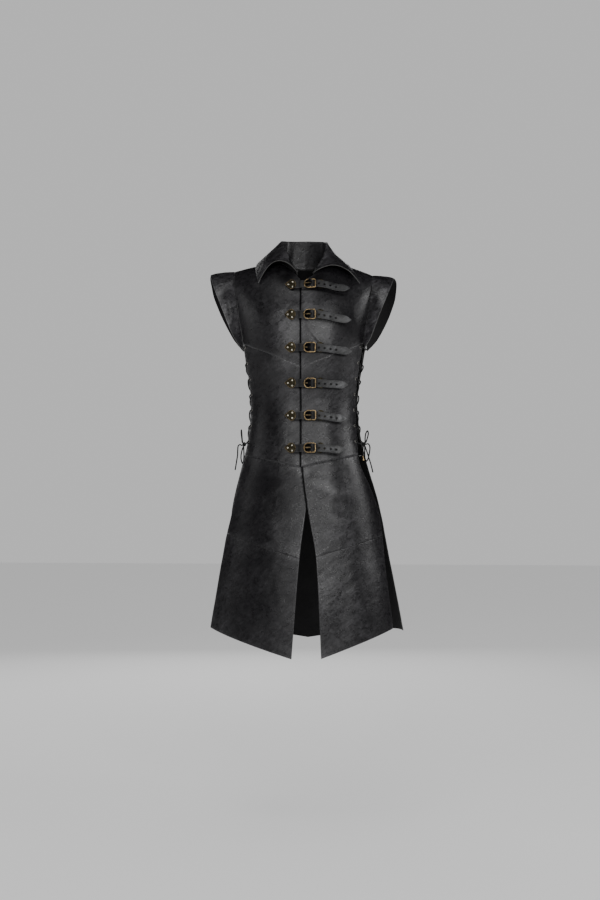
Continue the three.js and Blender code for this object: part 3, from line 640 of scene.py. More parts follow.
class Curve:
    """A smooth line through a short table, which never swings past its rows."""

    def __init__(self, rows: Sequence[tuple[float, float]]) -> None:
        """Read the rows.

        Args:
            rows: pairs of a place and the value there, in any order.
        """
        self.at, self.value = np.array(sorted(rows), float).T
        slope = np.diff(self.value) / np.diff(self.at)
        before = np.concatenate(([slope[0]], slope))
        after = np.concatenate((slope, [slope[-1]]))
        product = before * after
        total = np.where(product > 0, before + after, 1)
        self.slope = np.where(product > 0, 2 * product / total, 0)

    def __call__(self, place: Array) -> Array:
        """The value at each place.

        Args:
            place: along the table; past its ends the end's value holds.

        Returns:
            The values.
        """
        i = np.clip(np.searchsorted(self.at, place) - 1, 0, len(self.at) - 2)
        span = self.at[i + 1] - self.at[i]
        t = np.clip((place - self.at[i]) / span, 0, 1)
        return hermite(self.value[i], self.value[i + 1], self.slope[i] * span, self.slope[i + 1] * span, t)


def curves(rows: Sequence[Sequence[float]]) -> list[Curve]:
    """One smooth line for each column of a table of evenly spaced rows."""
    return [Curve(list(enumerate(column))) for column in zip(*rows)]


@dataclass
class Form:
    """The hollow body form that every panel lies on, in millimetres.

    Attributes:
        levels: height, half width, depth in front, depth behind.
        squareness: power of a level section; 2 is an ellipse.
        chest_level: above it the form closes over the shoulders.
        shoulder_power: of the profile that closes it, per face.
        neck_half: from the middle to where the shoulder seam starts.
        arm_top: distance from the middle of the shoulder seam's end.
        arm_drop: how much lower that end lies, per side.
        shoulder_sag: power by which the shoulder seam falls.
        shoulder_run: length of leather from the chest level up to the shoulder seam.
        half_gap: half the gap between front and back.
        probe: steps in angle and height by which a normal is found.
    """

    levels: tuple[tuple[float, float, float, float], ...] = (
        (20, 217, 128, 118), (-50, 214, 128, 118), (-90, 208, 128, 118), (-135, 198, 128, 118),
        (-175, 188, 128, 118), (-213, 178, 128, 117), (-255, 170, 126, 112), (-297, 163, 121, 105),
        (-345, 155, 115, 99), (-395, 151, 112, 98), (-448, 154, 115, 106), (-500, 162, 121, 118),
        (-560, 177, 130, 131), (-680, 211, 149, 154), (-800, 234, 168, 174), (-920, 257, 184, 190),
        (-1090, 289, 203, 208))
    squareness: float = 2.4
    chest_level: float = -200
    shoulder_power: dict[Face, float] = field(default_factory=lambda: {Face.FRONT: 2.3, Face.BACK: 2.6})
    neck_half: float = 75
    arm_top: float = 193
    arm_drop: dict[Side, float] = field(default_factory=lambda: {Side.RIGHT: -24, Side.LEFT: -38})
    shoulder_sag: float = 1.3
    shoulder_run: float = 130
    half_gap: float = 0.15
    probe: tuple[float, float] = (0.01, 1)

    def __post_init__(self) -> None:
        """Draw the smooth lines through the levels."""
        self.half, front, back = (Curve([(row[0], row[k]) for row in self.levels]) for k in (1, 2, 3))
        self.depth = {Face.FRONT: front, Face.BACK: back}

    def ridge(self, x: Array) -> Array:
        """Height of the shoulder seam at a distance from the middle."""
        share = np.maximum(0, (np.abs(x) - self.neck_half) / (self.arm_top - self.neck_half))
        return np.where(np.asarray(x) < 0, *(self.arm_drop[side] for side in Side)) * share**self.shoulder_sag

    def below_ridge(self, x: Array, z: Array) -> Array:
        """Share of the way down from the shoulder seam to the chest level."""
        return np.clip((self.ridge(x) - z) / (self.ridge(x) - self.chest_level), 0, 1)

    def point(self, angle: Array, z: Array, face: Face) -> Array:
        """The point at an angle from the middle of the front or back, and a height.

        Args:
            angle: in radians.
            z: height.
            face: the half of the form.

        Returns:
            Points, with X, Y and Z on the last axis.
        """
        angle, z = np.broadcast_arrays(np.asarray(angle, float), np.asarray(z, float))
        x = self.half(z) * power(np.sin(angle), 2 / self.squareness)
        side = -1 if face is Face.FRONT else 1
        depth = self.depth[face](z) * power(np.cos(angle), 2 / self.squareness)
        p = self.shoulder_power[face]
        closed = (1 - (1 - self.below_ridge(x, z)) ** p) ** (1 / p)
        depth = depth * np.where(z <= self.chest_level, 1, closed)
        return np.stack((x, side * (depth + self.half_gap), z), -1)

    def normal(self, angle: Array, z: Array, face: Face) -> Array:
        """The outward normal at such a point.

        Args:
            angle: in radians.
            z: height.
            face: the half of the form.

        Returns:
            Directions of length 1.
        """
        angle, z = np.broadcast_arrays(np.asarray(angle, float), np.asarray(z, float))
        turn, step = self.probe
        across = self.point(angle + turn, z, face) - self.point(angle - turn, z, face)
        up = self.point(angle, z + step, face) - self.point(angle, z - step, face)
        normal = normalised(np.cross(across, up))
        flat = self.point(angle, z, face) * np.array((1, 1, 0))
        return normal * np.where(np.sum(normal * flat, -1, keepdims=True) < 0, -1, 1)

    def angle_at(self, x: Array, z: Array) -> Array:
        """The angle at which the form is x from the middle."""
        share = np.clip(np.abs(x) / self.half(z), 0, 1)
        return np.sign(x) * np.arcsin(share ** (self.squareness / 2))

    def at(self, x: Array, z: Array, face: Face) -> Array:
        """The point at X and a height."""
        return self.point(self.angle_at(x, z), z, face)

    def facing(self, x: Array, z: Array, face: Face) -> Array:
        """The outward normal at X and a height."""
        return self.normal(self.angle_at(x, z), z, face)

    def run_of(self, x: Array, z: Array, face: Face) -> Array:
        """Distance along the form from the chest level down; above it, it is negative.

        Args:
            x: across.
            z: height.
            face: the half of the form.

        Returns:
            Distances.
        """
        turn = np.arccos(np.clip((1 - self.below_ridge(x, z)) ** (self.shoulder_power[face] / 2), 0, 1))
        above = (turn / (math.pi / 2) - 1) * self.shoulder_run
        return np.where(z <= self.chest_level, self.chest_level - z, above)

    def height_of(self, x: Array, run: Array, face: Face) -> Array:
        """The height at such a distance.

        Args:
            x: across.
            run: distance from the chest level down.
            face: the half of the form.

        Returns:
            Heights.
        """
        turn = np.clip(1 + run / self.shoulder_run, 0, 1) * (math.pi / 2)
        above = mix(self.chest_level, self.ridge(x), np.cos(turn) ** (2 / self.shoulder_power[face]))
        return np.where(run >= 0, self.chest_level - run, above)


FORM = Form()


@dataclass(frozen=True)
class Crease:
    """One fold or dent of the leather: a line between two points on a face.

    Attributes:
        start: X and Z of one end.
        end: X and Z of the other.
        width: across it.
        rise: height of the fold; a dent's is below 0.
        bend: how far its line bows, as a share of its length.
        lee: depth of the hollow beside it, as a share of its rise.
        lee_at: from the fold to the hollow, as a share of its width.
        taper: power by which it runs out at its ends.
    """

    start: tuple[float, float]
    end: tuple[float, float]
    width: float
    rise: float
    bend: float = 0.12
    lee: float = 0.45
    lee_at: float = 1.3
    taper: float = 0.6

    def height(self, x: Array, z: Array) -> Array:
        """The fold's height at points of the face.

        Args:
            x: across.
            z: up.

        Returns:
            Heights in millimetres.
        """
        (x0, z0), (x1, z1) = self.start, self.end
        dx, dz = x1 - x0, z1 - z0
        length = math.hypot(dx, dz)
        along = ((x - x0) * dx + (z - z0) * dz) / length**2
        bow = self.bend * length * (along - along**2)
        off = ((x - x0) * dz - (z - z0) * dx) / length - bow
        fade = np.clip(1 - (2 * along - 1) ** 2, 0, None) * (np.abs(along - 0.5) < 0.5)
        fold = hump(off, self.width) - self.lee * hump(off - self.width * self.lee_at, self.width)
        return self.rise * fade**self.taper * fold


CREASES = {
    Face.FRONT: (
        Crease((10, -170), (52, -234), 3.4, 2.4), Crease((30, -205), (64, -262), 8, -1.2),
        Crease((102, -270), (112, -345), 6, 0.9), Crease((86, -282), (70, -352), 9, -0.8),
        Crease((-20, -452), (-128, -420), 11, 0.8), Crease((24, -470), (132, -430), 11, 0.9),
        Crease((60, -505), (150, -470), 9, 0.9), Crease((-54, -520), (-140, -492), 10, 0.8),
        Crease((-40, -300), (-120, -268), 13, 0.7), Crease((-150, -250), (-166, -400), 9, 0.8),
        Crease((140, -262), (150, -410), 9, 0.9), Crease((-120, -60), (-165, -160), 10, 0.8),
        Crease((118, -92), (160, -190), 10, 0.9), Crease((-88, -120), (-20, -150), 16, 0.6),
        Crease((20, -600), (150, -650), 24, 1.6), Crease((46, -690), (170, -730), 22, 1.2),
        Crease((-40, -610), (-160, -690), 24, 1.4), Crease((-60, -760), (-190, -830), 26, 1.4),
        Crease((120, -780), (190, -1020), 30, 1.0), Crease((-110, -800), (-190, -1030), 32, 0.8),
        Crease((60, -880), (96, -1080), 30, 0.9), Crease((-40, -880), (-76, -1080), 30, 0.8)),
    Face.BACK: (
        Crease((-110, -90), (-158, -180), 12, 1.0), Crease((110, -95), (158, -185), 12, 1.0),
        Crease((-60, -420), (-145, -380), 12, 1.1), Crease((40, -430), (146, -396), 12, 1.0),
        Crease((-30, -470), (-140, -460), 12, 1.0), Crease((20, -486), (120, -500), 12, 0.9),
        Crease((-90, -520), (-20, -540), 10, 0.8), Crease((0, -60), (6, -200), 22, -0.8),
        Crease((-70, -620), (-110, -1050), 30, 3.0), Crease((80, -620), (130, -1050), 30, 3.0),
        Crease((0, -640), (8, -1060), 34, -2.4), Crease((-170, -700), (-220, -1050), 26, 2.4),
        Crease((180, -700), (225, -1050), 26, 2.4)),
}
UNEVEN = ((0.55, 70, 3.1), (0.28, 24, 8.4))  # height, size and seed of the leather's soft unevenness


def clouds(x: Array, y: Array, size: float, seed: float) -> Array:
    """Soft noise, the same each run.

    Args:
        x: first coordinate.
        y: second coordinate.
        size: across one cloud.
        seed: tells one layer from another.

    Returns:
        Values near -1 to 1.
    """
    flat = np.stack((np.ravel(x) / size, np.ravel(y) / size), -1)
    return np.array([noise.noise(Vector((a, b, seed))) for a, b in flat]).reshape(np.shape(x))


def relief(x: Array, z: Array, face: Face) -> Array:
    """How far the leather lies above the smooth form; it is calmer where straps hold the front down.

    Args:
        x: across.
        z: up.
        face: the half of the form.

    Returns:
        Heights in millimetres.
    """
    (rise, size, seed), (rise_2, size_2, seed_2) = UNEVEN
    total = rise * clouds(x, z, size, seed) + rise_2 * clouds(x, z, size_2, seed_2)
    for crease in CREASES[face]:
        total = total + crease.height(x, z)
    if face is Face.FRONT:
        strapped = np.exp(-np.maximum(0, np.abs(x - 20) - 70) / 25) * (z > -560)
        total = total * (1 - 0.5 * strapped)
    return total * ease((FORM.ridge(x) - z) / 60)


# ------------------------------------------------------------------ mesh tools
def settled(bm: BMesh, name: str) -> bpy.types.Mesh:
    """A mesh from a bmesh.

    Args:
        bm: the shape, which is freed.
        name: the mesh's name.

    Returns:
        The new mesh.
    """
    mesh = bpy.data.meshes.new(name)
    bm.to_mesh(mesh)
    bm.free()
    return mesh


def frame_at(place: Array, normal: Array, along: Array) -> Matrix:
    """The matrix of a small piece on a surface.

    Args:
        place: its middle, in millimetres.
        normal: its local Z.
        along: about its local X.

    Returns:
        A matrix in metres for a shape in millimetres.
    """
    z = Vector(normal).normalized()
    x = Vector(along)
    x = (x - z * x.dot(z)).normalized()
    turn = Matrix((x, z.cross(x), z)).transposed().to_4x4()
    return Matrix.Translation(Vector(place) * MM) @ turn @ Matrix.Scale(MM, 4)


class Maker:
    """Turns grids and bmeshes into finished pieces."""

    def __init__(self, finishes: Finishes) -> None:
        """Keep the finishes.

        Args:
            finishes: the jerkin's materials.
        """
        self.finishes = finishes

    def grid(self, points: Array, normals: Array | None = None, fields: dict[str, Array] | None = None,
             length: float | None = None) -> BMesh:
        """A surface through a grid of points.

        Args:
            points: rows by columns by 3, in millimetres.
            normals: which way its outside faces; left as made if None.
            fields: numbers to store at the points, by name.
            length: if given, a UV map spans this length across and 1 down, and points that meet are joined.

        Returns:
            The surface.
        """
        rows, columns = points.shape[0] - 1, points.shape[1] - 1
        bm = bmesh.new()
        uv = bm.loops.layers.uv.new("UVMap") if length else None
        layers = {name: bm.verts.layers.float.new(name) for name in fields or {}}
        bmesh.ops.create_grid(bm, x_segments=columns, y_segments=rows, size=1, calc_uvs=length is not None)
        metres = points * MM
        for vert in bm.verts:
            i, j = round((vert.co.y + 1) / 2 * rows), round((vert.co.x + 1) / 2 * columns)
            vert.co = metres[i, j]
            for name, layer in layers.items():
                vert[layer] = fields[name][i, j]
        if length:
            for loop in (loop for face in bm.faces for loop in face.loops):
                u, v = loop[uv].uv
                loop[uv].uv = (u * length, v)
            bmesh.ops.remove_doubles(bm, verts=bm.verts, dist=1e-6)
        if normals is not None:
            made = np.cross(np.gradient(points, axis=1), np.gradient(points, axis=0))
            if np.sum(made * normals) < 0:
                bmesh.ops.reverse_faces(bm, faces=bm.faces)
        return bm

    def tube(self, points: Array, radius: Array | float, sides: int = 10, closed: bool = False,
             up: Sequence[float] = (0, 0, 1)) -> BMesh:
        """A round rod that follows points.

        Args:
            points: the line, in millimetres.
            radius: one radius, or one for each point.
            sides: of the section.
            closed: the line meets its own start.
            up: a direction that the section's top keeps near.

        Returns:
            The rod, closed at its ends.
        """
        line = np.asarray(points, float)
        size = np.broadcast_to(np.asarray(radius, float), (len(line),))
        top = np.asarray(up, float) + 1e-4
        if closed:
            along = np.roll(line, -1, 0) - np.roll(line, 1, 0)
            line, size = np.vstack((line, line[:1])), np.append(size, size[0])
            along = normalised(np.vstack((along, along[:1])))
            side = normalised(np.cross(along, top[None]))
        else:
            along = normalised(np.gradient(line, axis=0))
            side = np.zeros_like(line)
            side[0] = normalised(np.cross(along[0], top))
            for i in range(1, len(line)):
                side[i] = normalised(side[i - 1] - along[i] * np.dot(side[i - 1], along[i]))
        lift = np.cross(side, along)
        turn = np.linspace(0, TURN, sides + 1)[None, :, None]
        ring = side[:, None] * np.cos(turn) + lift[:, None] * np.sin(turn)
        rows = line[:, None] + ring * size[:, None, None]
        length = np.linalg.norm(np.diff(line, axis=0), axis=-1).sum() * MM
        bm = self.grid(np.swapaxes(rows, 0, 1), length=length)
        if not closed:
            bmesh.ops.holes_fill(bm, edges=[e for e in bm.edges if e.is_boundary])
        bmesh.ops.recalc_face_normals(bm, faces=bm.faces)
        return bm

    def slab(self, outline: Sequence[tuple[float, float]], low: float, high: float, bevel: float) -> BMesh:
        """An outline raised to a plate, its edges rounded.

        Args:
            outline: X and second coordinate, in millimetres.
            low: height of its underside.
            high: height of its top.
            bevel: width of the rounding.

        Returns:
            The plate, with its height along local Z.
        """
        bm = bmesh.new()
        verts = [bm.verts.new((x, y, low)) for x, y in outline]
        made = bmesh.ops.extrude_face_region(bm, geom=[bm.faces.new(verts)])
        top = [v for v in made["geom"] if isinstance(v, bmesh.types.BMVert)]
        bmesh.ops.translate(bm, verts=top, vec=(0, 0, high - low))
        bmesh.ops.recalc_face_normals(bm, faces=bm.faces)
        edges = [e for e in bm.edges if abs(e.verts[0].co.z - e.verts[1].co.z) < 1e-6]
        bmesh.ops.bevel(bm, geom=edges, offset=bevel, segments=2, profile=0.5, affect="EDGES", material=-1)
        return bm

    def disc(self, profile: Sequence[tuple[float, float]], steps: int = 20) -> BMesh:
        """A turned shape round local Z.

        Args:
            profile: radius and height; it starts and ends on the axis, or closes on itself.
            steps: round the axis.

        Returns:
            The turned shape.
        """
        bm = bmesh.new()
        verts = [bm.verts.new((r, 0, h)) for r, h in profile]
        edges = [bm.edges.new(pair) for pair in zip(verts, verts[1:])]
        if profile[0][0] > 1e-6:
            edges.append(bm.edges.new((verts[-1], verts[0])))
        bmesh.ops.spin(bm, geom=[*verts, *edges], cent=(0, 0, 0), axis=(0, 0, 1), angle=TURN, steps=steps,
                       use_merge=True)
        bmesh.ops.remove_doubles(bm, verts=bm.verts, dist=1e-4)
        bmesh.ops.recalc_face_normals(bm, faces=bm.faces)
        return bm

    def block(self, size: Sequence[float], middle: Sequence[float]) -> BMesh:
        """A box.

        Args:
            size: its three sizes.
            middle: its middle.

        Returns:
            The box.
        """
        bm = bmesh.new()
        bmesh.ops.create_cube(bm, size=1)
        bmesh.ops.scale(bm, verts=bm.verts, vec=size)
        bmesh.ops.translate(bm, verts=bm.verts, vec=middle)
        return bm

    def rod(self, radius: float, length: float, sides: int) -> BMesh:
        """A short rod along local Z.

        Args:
            radius: its radius.
            length: its length.
            sides: of its section.

        Returns:
            The rod.
        """
        bm = bmesh.new()
        bmesh.ops.create_cone(bm, cap_ends=True, segments=sides, radius1=radius, radius2=radius, depth=length)
        return bm

    def merge(self, *parts: BMesh) -> BMesh:
        """Several bmeshes as one, which frees them."""
        whole = bmesh.new()
        for part in parts:
            mesh = settled(part, "part")
            whole.from_mesh(mesh)
            bpy.data.meshes.remove(mesh)
        return whole

    def scatter(self, seed: BMesh, places: Sequence[Matrix]) -> BMesh:
        """Copies of a small shape at many places.

        Args:
            seed: the shape, which is freed.
            places: a matrix for each copy.

        Returns:
            All the copies.
        """
        mesh = settled(seed, "seed")
        whole = bmesh.new()
        for place in places:
            copy = mesh.copy()
            copy.transform(place)
            whole.from_mesh(copy)
            bpy.data.meshes.remove(copy)
        bpy.data.meshes.remove(mesh)
        return whole

    def piece(self, name: str, bm: BMesh, materials: Sequence[Material], slot: str, nodes: Sequence[str] = (),
              wear: float | None = None, smooth: bool = True) -> bpy.types.Object:
        """Make a bmesh a piece of the jerkin.

        Args:
            name: the piece's name.
            bm: its shape, in metres, which is freed.
            materials: its material slots.
            slot: the record's slot; not used.
            nodes: the CAD nodes that it stands for.
            wear: how bright it is worn all over, for the finish to read.
            smooth: shade it smooth.

        Returns:
            The new object.
        """
        for face in bm.faces:
            face.smooth = smooth
        mesh = settled(bm, name)
        for material in materials:
            mesh.materials.append(material)
        if wear is not None:
            layer = mesh.attributes.new("wear", "FLOAT", "POINT")
            layer.data.foreach_set("value", np.full(len(mesh.vertices), wear, np.float32))
        made = bpy.data.objects.new(name, mesh)
        bpy.context.collection.objects.link(made)
        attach(made, "root")
        if nodes:
            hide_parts(*nodes)
        return made

    def leather(self, name: str, surface: Surface, fields: dict[str, Array], nodes: Sequence[str],
                wall: float, held: str | None = "hung", slot: str = "leather",
                grain: Material | None = None) -> bpy.types.Object:
        """Make a sheet of leather from its outside.

        Args:
            name: the piece's name.
            surface: its outside.
            fields: where it is rubbed and worn, and where highlights and shade are painted.
            nodes: the CAD nodes that it stands for.
            wall: its thickness in millimetres.
            held: how the sheet hangs; it only decides whether the flat cut's size is logged, and nothing is
                logged if None.
            slot: the record's slot, handed to the piece, where it is not used.
            grain: finish of its outside; body leather if None.

        Returns:
            The new object.
        """
        bm = self.grid(surface.points, surface.normals, fields)
        coats = [grain or self.finishes.leather, self.finishes.cut, self.finishes.flesh]
        made = self.piece(name, bm, coats, slot, nodes)
        solid = made.modifiers.new("wall", "SOLIDIFY")
        solid.thickness = wall * MM
        solid.offset = -1
        solid.material_offset_rim = coats.index(self.finishes.cut)
        solid.material_offset = coats.index(self.finishes.flesh)
        if held:
            width, length, area = surface.cut_size()
            LOG.info("sheet %s: cut %.0f x %.0f mm, %.4f m2", name, width / MM, length / MM, area)
        return made

    def round_edges(self, made: bpy.types.Object, radius: float = 0.55) -> None:
        """Round the cut edges of a sheet.

        Args:
            made: the sheet.
            radius: in millimetres.
        """
        rounding = made.modifiers.new("edges", "BEVEL")
        rounding.width = radius * MM
        rounding.segments = 2
        rounding.limit_method = "ANGLE"
        rounding.angle_limit = math.radians(55)

    def carve(self, made: bpy.types.Object, *cutters: BMesh) -> None:
        """Cut holes in a piece, for good.

        Args:
            made: the piece.
            *cutters: what is taken away, in metres, which are freed.
        """
        mesh = settled(self.merge(*cutters), "cutter")
        mesh.materials.append(self.finishes.flesh)
        tool = bpy.data.objects.new("cutter", mesh)
        bpy.context.collection.objects.link(tool)
        boolean = made.modifiers.new("holes", "BOOLEAN")
        boolean.operation = "DIFFERENCE"
        boolean.solver = "EXACT"
        boolean.object = tool
        whole, seen = made.data, bpy.context.evaluated_depsgraph_get()
        cut = bpy.data.meshes.new_from_object(made.evaluated_get(seen))
        cut.name = whole.name
        made.modifiers.clear()
        made.data = cut
        bpy.data.meshes.remove(whole)
        bpy.data.objects.remove(tool)
        bpy.data.meshes.remove(mesh)


# ------------------------------------------------------------------ sheets of leather
class Edge(Enum):
    """The four edges of a sheet, named as it hangs: near the middle of its face, far at the side."""

    NEAR = "near"
    FAR = "far"
    TOP = "top"
    FOOT = "foot"


class Surface:
    """The outside of a piece of leather, as rows and columns of points in millimetres."""

    def __init__(self, points: Array, middle: Array | Sequence[float]) -> None:
        """Keep the points and find which way they face.

        Args:
            points: rows by columns by 3.
            middle: points that the outside faces away from.
        """
        self.points = points
        normal = normalised(np.cross(np.gradient(points, axis=1), np.gradient(points, axis=0)))
        away = np.sum(normal * (points - np.asarray(middle, float)), -1, keepdims=True)
        self.normals = np.where(away < 0, -normal, normal)
        self.middle = middle

    def raised(self, height: Array | float) -> Surface:
        """The surface moved out along its normals."""
        return Surface(self.points + self.normals * np.asarray(height)[..., None], self.middle)

    def distances(self) -> dict[Edge, Array]:
        """How far each point lies from each edge, along the leather.

        Returns:
            Rows by columns of distances, for each edge.
        """
        step_across = np.linalg.norm(np.diff(self.points, axis=1), axis=-1)
        step_down = np.linalg.norm(np.diff(self.points, axis=0), axis=-1)
        across = np.pad(np.cumsum(step_across, 1), ((0, 0), (1, 0)))
        down = np.pad(np.cumsum(step_down, 0), ((1, 0), (0, 0)))
        return {Edge.NEAR: across, Edge.FAR: across[:, -1:] - across, Edge.TOP: down,
                Edge.FOOT: down[-1:] - down}

    def cut_size(self) -> tuple[float, float, float]:
        """Measure the flat cut.

        Returns:
            Its width, length and area, in metres.
        """
        gaps = self.distances()
        width = float(gaps[Edge.NEAR][:, -1].max()) * MM
        length = float(gaps[Edge.TOP][-1].max()) * MM
        a = self.points[1:, 1:] - self.points[:-1, :-1]
        b = self.points[1:, :-1] - self.points[:-1, 1:]
        area = float(np.linalg.norm(np.cross(a, b), axis=-1).sum()) / 2 * MM**2
        return width, length, area

    def line(self, edge: Edge, inset: float, pitch: float, margin: float = 5
             ) -> list[tuple[Array, Array, Array]]:
        """Evenly spaced places beside an edge.

        Args:
            edge: the edge to follow.
            inset: distance from it.
            pitch: from place to place.
            margin: how far from the edge's two ends the places start and stop.

        Returns:
            Point, normal and direction of each place.
        """
        gap, both = self.distances()[edge], np.concatenate((self.points, self.normals), -1)
        if edge in (Edge.TOP, Edge.FOOT):
            gap, both = gap.T, both.swapaxes(0, 1)
        if edge in (Edge.FAR, Edge.FOOT):
            gap, both = gap[:, ::-1], both[:, ::-1]
        path = np.array([[np.interp(inset, g, column) for column in row.T] for g, row in zip(gap, both)])
        steps = np.linalg.norm(np.diff(path[:, :3], axis=0), axis=-1)
        along = np.concatenate(([0], np.cumsum(steps)))
        stops = np.arange(margin, along[-1] - margin, pitch)
        even = np.stack([np.interp(stops, along, column) for column in path.T], -1)
        heading = np.gradient(even[:, :3], axis=0)
        return list(zip(even[:, :3], normalised(even[:, 3:]), normalised(heading)))


def shares(length: float, cell: float, fine: Sequence[float] = (0.8, 1.9, 3.6)) -> Array:
    """Places from 0 to 1 along a length, closer together at its ends.

    Args:
        length: in millimetres.
        cell: the usual step.
        fine: distances of the closer places from each end.

    Returns:
        The places.
    """
    count = max(2, round((length - 2 * fine[-1]) / cell) + 1)
    inner = np.linspace(fine[-1], length - fine[-1], count)
    start = np.array([0, *fine[:-1]])
    return np.concatenate((start, inner, length - start[::-1])) / length


@dataclass(frozen=True)
class Rub:
    """A patch where the leather is rubbed more than round it, carries a painted highlight, or carries painted
    shade.

    Attributes:
        place: X and Z of its middle.
        size: its half width and half height.
        amount: how much more.
    """

    place: tuple[float, float]
    size: tuple[float, float]
    amount: float

    def share(self, x: Array, z: Array) -> Array:
        """How much the patch adds at each point; a negative amount paints shade.

        Args:
            x: across.
            z: up.

        Returns:
            The amount at each point.
        """
        across = (x - self.place[0]) / self.size[0]
        up = (z - self.place[1]) / self.size[1]
        return self.amount * np.exp(-(across**2 + up**2))


@dataclass(frozen=True)
class StrapRow:
    """Where one strap lies on the front.

    Attributes:
        level: its height.
        tip: X of its point.
        drop: how far the point droops.
        bend_at: X from which it droops.
    """

    level: float
    tip: float
    drop: float
    bend_at: float = 30

    def droop(self, x: Array) -> Array:
        """How far the strap hangs below its level at X."""
        return self.drop * ease((x - self.bend_at) / (self.tip - self.bend_at))


# Patches on each face. The front's positive ones are partly rubbing and partly painted highlights; every
# negative one is painted shade: under the collar's points, beside the left armhole, down the wearer's right
# front and at the left side.
RUBS_AND_PAINTED_LIGHT = {
    Face.FRONT: (
        Rub((-40, -205), (34, 75), 0.6), Rub((-34, -430), (24, 110), 0.35), Rub((20, -120), (16, 30), 0.4),
        Rub((62, -208), (30, 36), 0.75), Rub((70, -425), (38, 90), 0.1), Rub((5, -576), (15, 20), 1.0),
        Rub((-8, -552), (12, 14), 0.7), Rub((84, -700), (70, 130), 0.08), Rub((90, -860), (50, 60), 0.5),
        Rub((110, -1010), (80, 90), 0.1), Rub((145, -180), (36, 66), -0.5), Rub((-140, -140), (30, 60), 0.05),
        Rub((-80, -80), (50, 46), -0.25), Rub((80, -84), (44, 34), -0.2), Rub((26, -300), (60, 26), 0.3),
        Rub((-120, -300), (46, 120), -0.3), Rub((-120, -480), (50, 90), -0.3),
        Rub((-90, -690), (110, 130), -0.3), Rub((-110, -940), (140, 170), -0.28),
        Rub((190, -700), (40, 150), -0.3), Rub((230, -1000), (50, 120), -0.25)),
    Face.BACK: (
        Rub((0, -150), (90, 60), 0.4), Rub((40, -420), (60, 70), 0.45), Rub((-70, -800), (50, 120), 0.4),
        Rub((90, -900), (60, 110), 0.45)),
}
STRAP_ROWS = (StrapRow(-72, 126, 15), StrapRow(-154, 129, 14), StrapRow(-242, 128, 9), StrapRow(-338, 117, 4),
              StrapRow(-427, 113, 9), StrapRow(-516, 110, 6))
SHADES = (Rub((-44, -50), (36, 30), 0.75), Rub((46, -56), (34, 28), 0.75))  # under the collar's points


def body_fields(surface: Surface, face: Face, seams: Sequence[Edge], under: Array) -> dict[str, Array]:
    """Where a body panel is rubbed, where its edges are worn, and where highlights and shade are painted on
    it.

    Args:
        surface: the panel's outside.
        face: the half of the form.
        seams: its sewn edges.
        under: painted shade where it lies close under the overlapping front's edge, 0 to 1.

    Returns:
        The two fields, by name.
    """
    x, z = surface.points[..., 0], surface.points[..., 2]
    rub = 0.5 + 0.28 * clouds(x, z, 90, 5.5)
    for patch in RUBS_AND_PAINTED_LIGHT[face]:
        rub = rub + patch.share(x, z)
    wear = np.zeros_like(x)
    for edge, gap in surface.distances().items():
        if edge in seams:
            line = hump(gap, 0.9) * np.where(z > SKIRT_SEAMS, 0.45, 0.08)
        else:
            line = hump(gap, 1.1) * 0.8
        if edge is Edge.NEAR and face is Face.FRONT:
            line = line * ease((-640 - z) / 60)
        wear = np.maximum(wear, line)
        rub = rub + 0.25 * fall(gap, 9)
    # Painted shade beside the left front's edge takes the place of the edge wear there.
    wear = np.where(under > 0, -under, wear)
    if face is Face.FRONT:
        wear = wear - sum(patch.share(x, z) for patch in SHADES)
        # Painted shadow that each strap casts on the front just below itself.
        for row in STRAP_ROWS:
            low = row.level - row.droop(x) - 13
            wear = wear - 0.7 * hump(z - low, 3.4) * ease((x + 34) / 10) * ease((row.tip - 2 - x) / 14)
    fold = np.clip(relief(x, z, face) - 0.75, 0, 1.5)
    return {"rub": np.clip(rub + 0.5 * fold, 0, 1.4), "wear": wear}


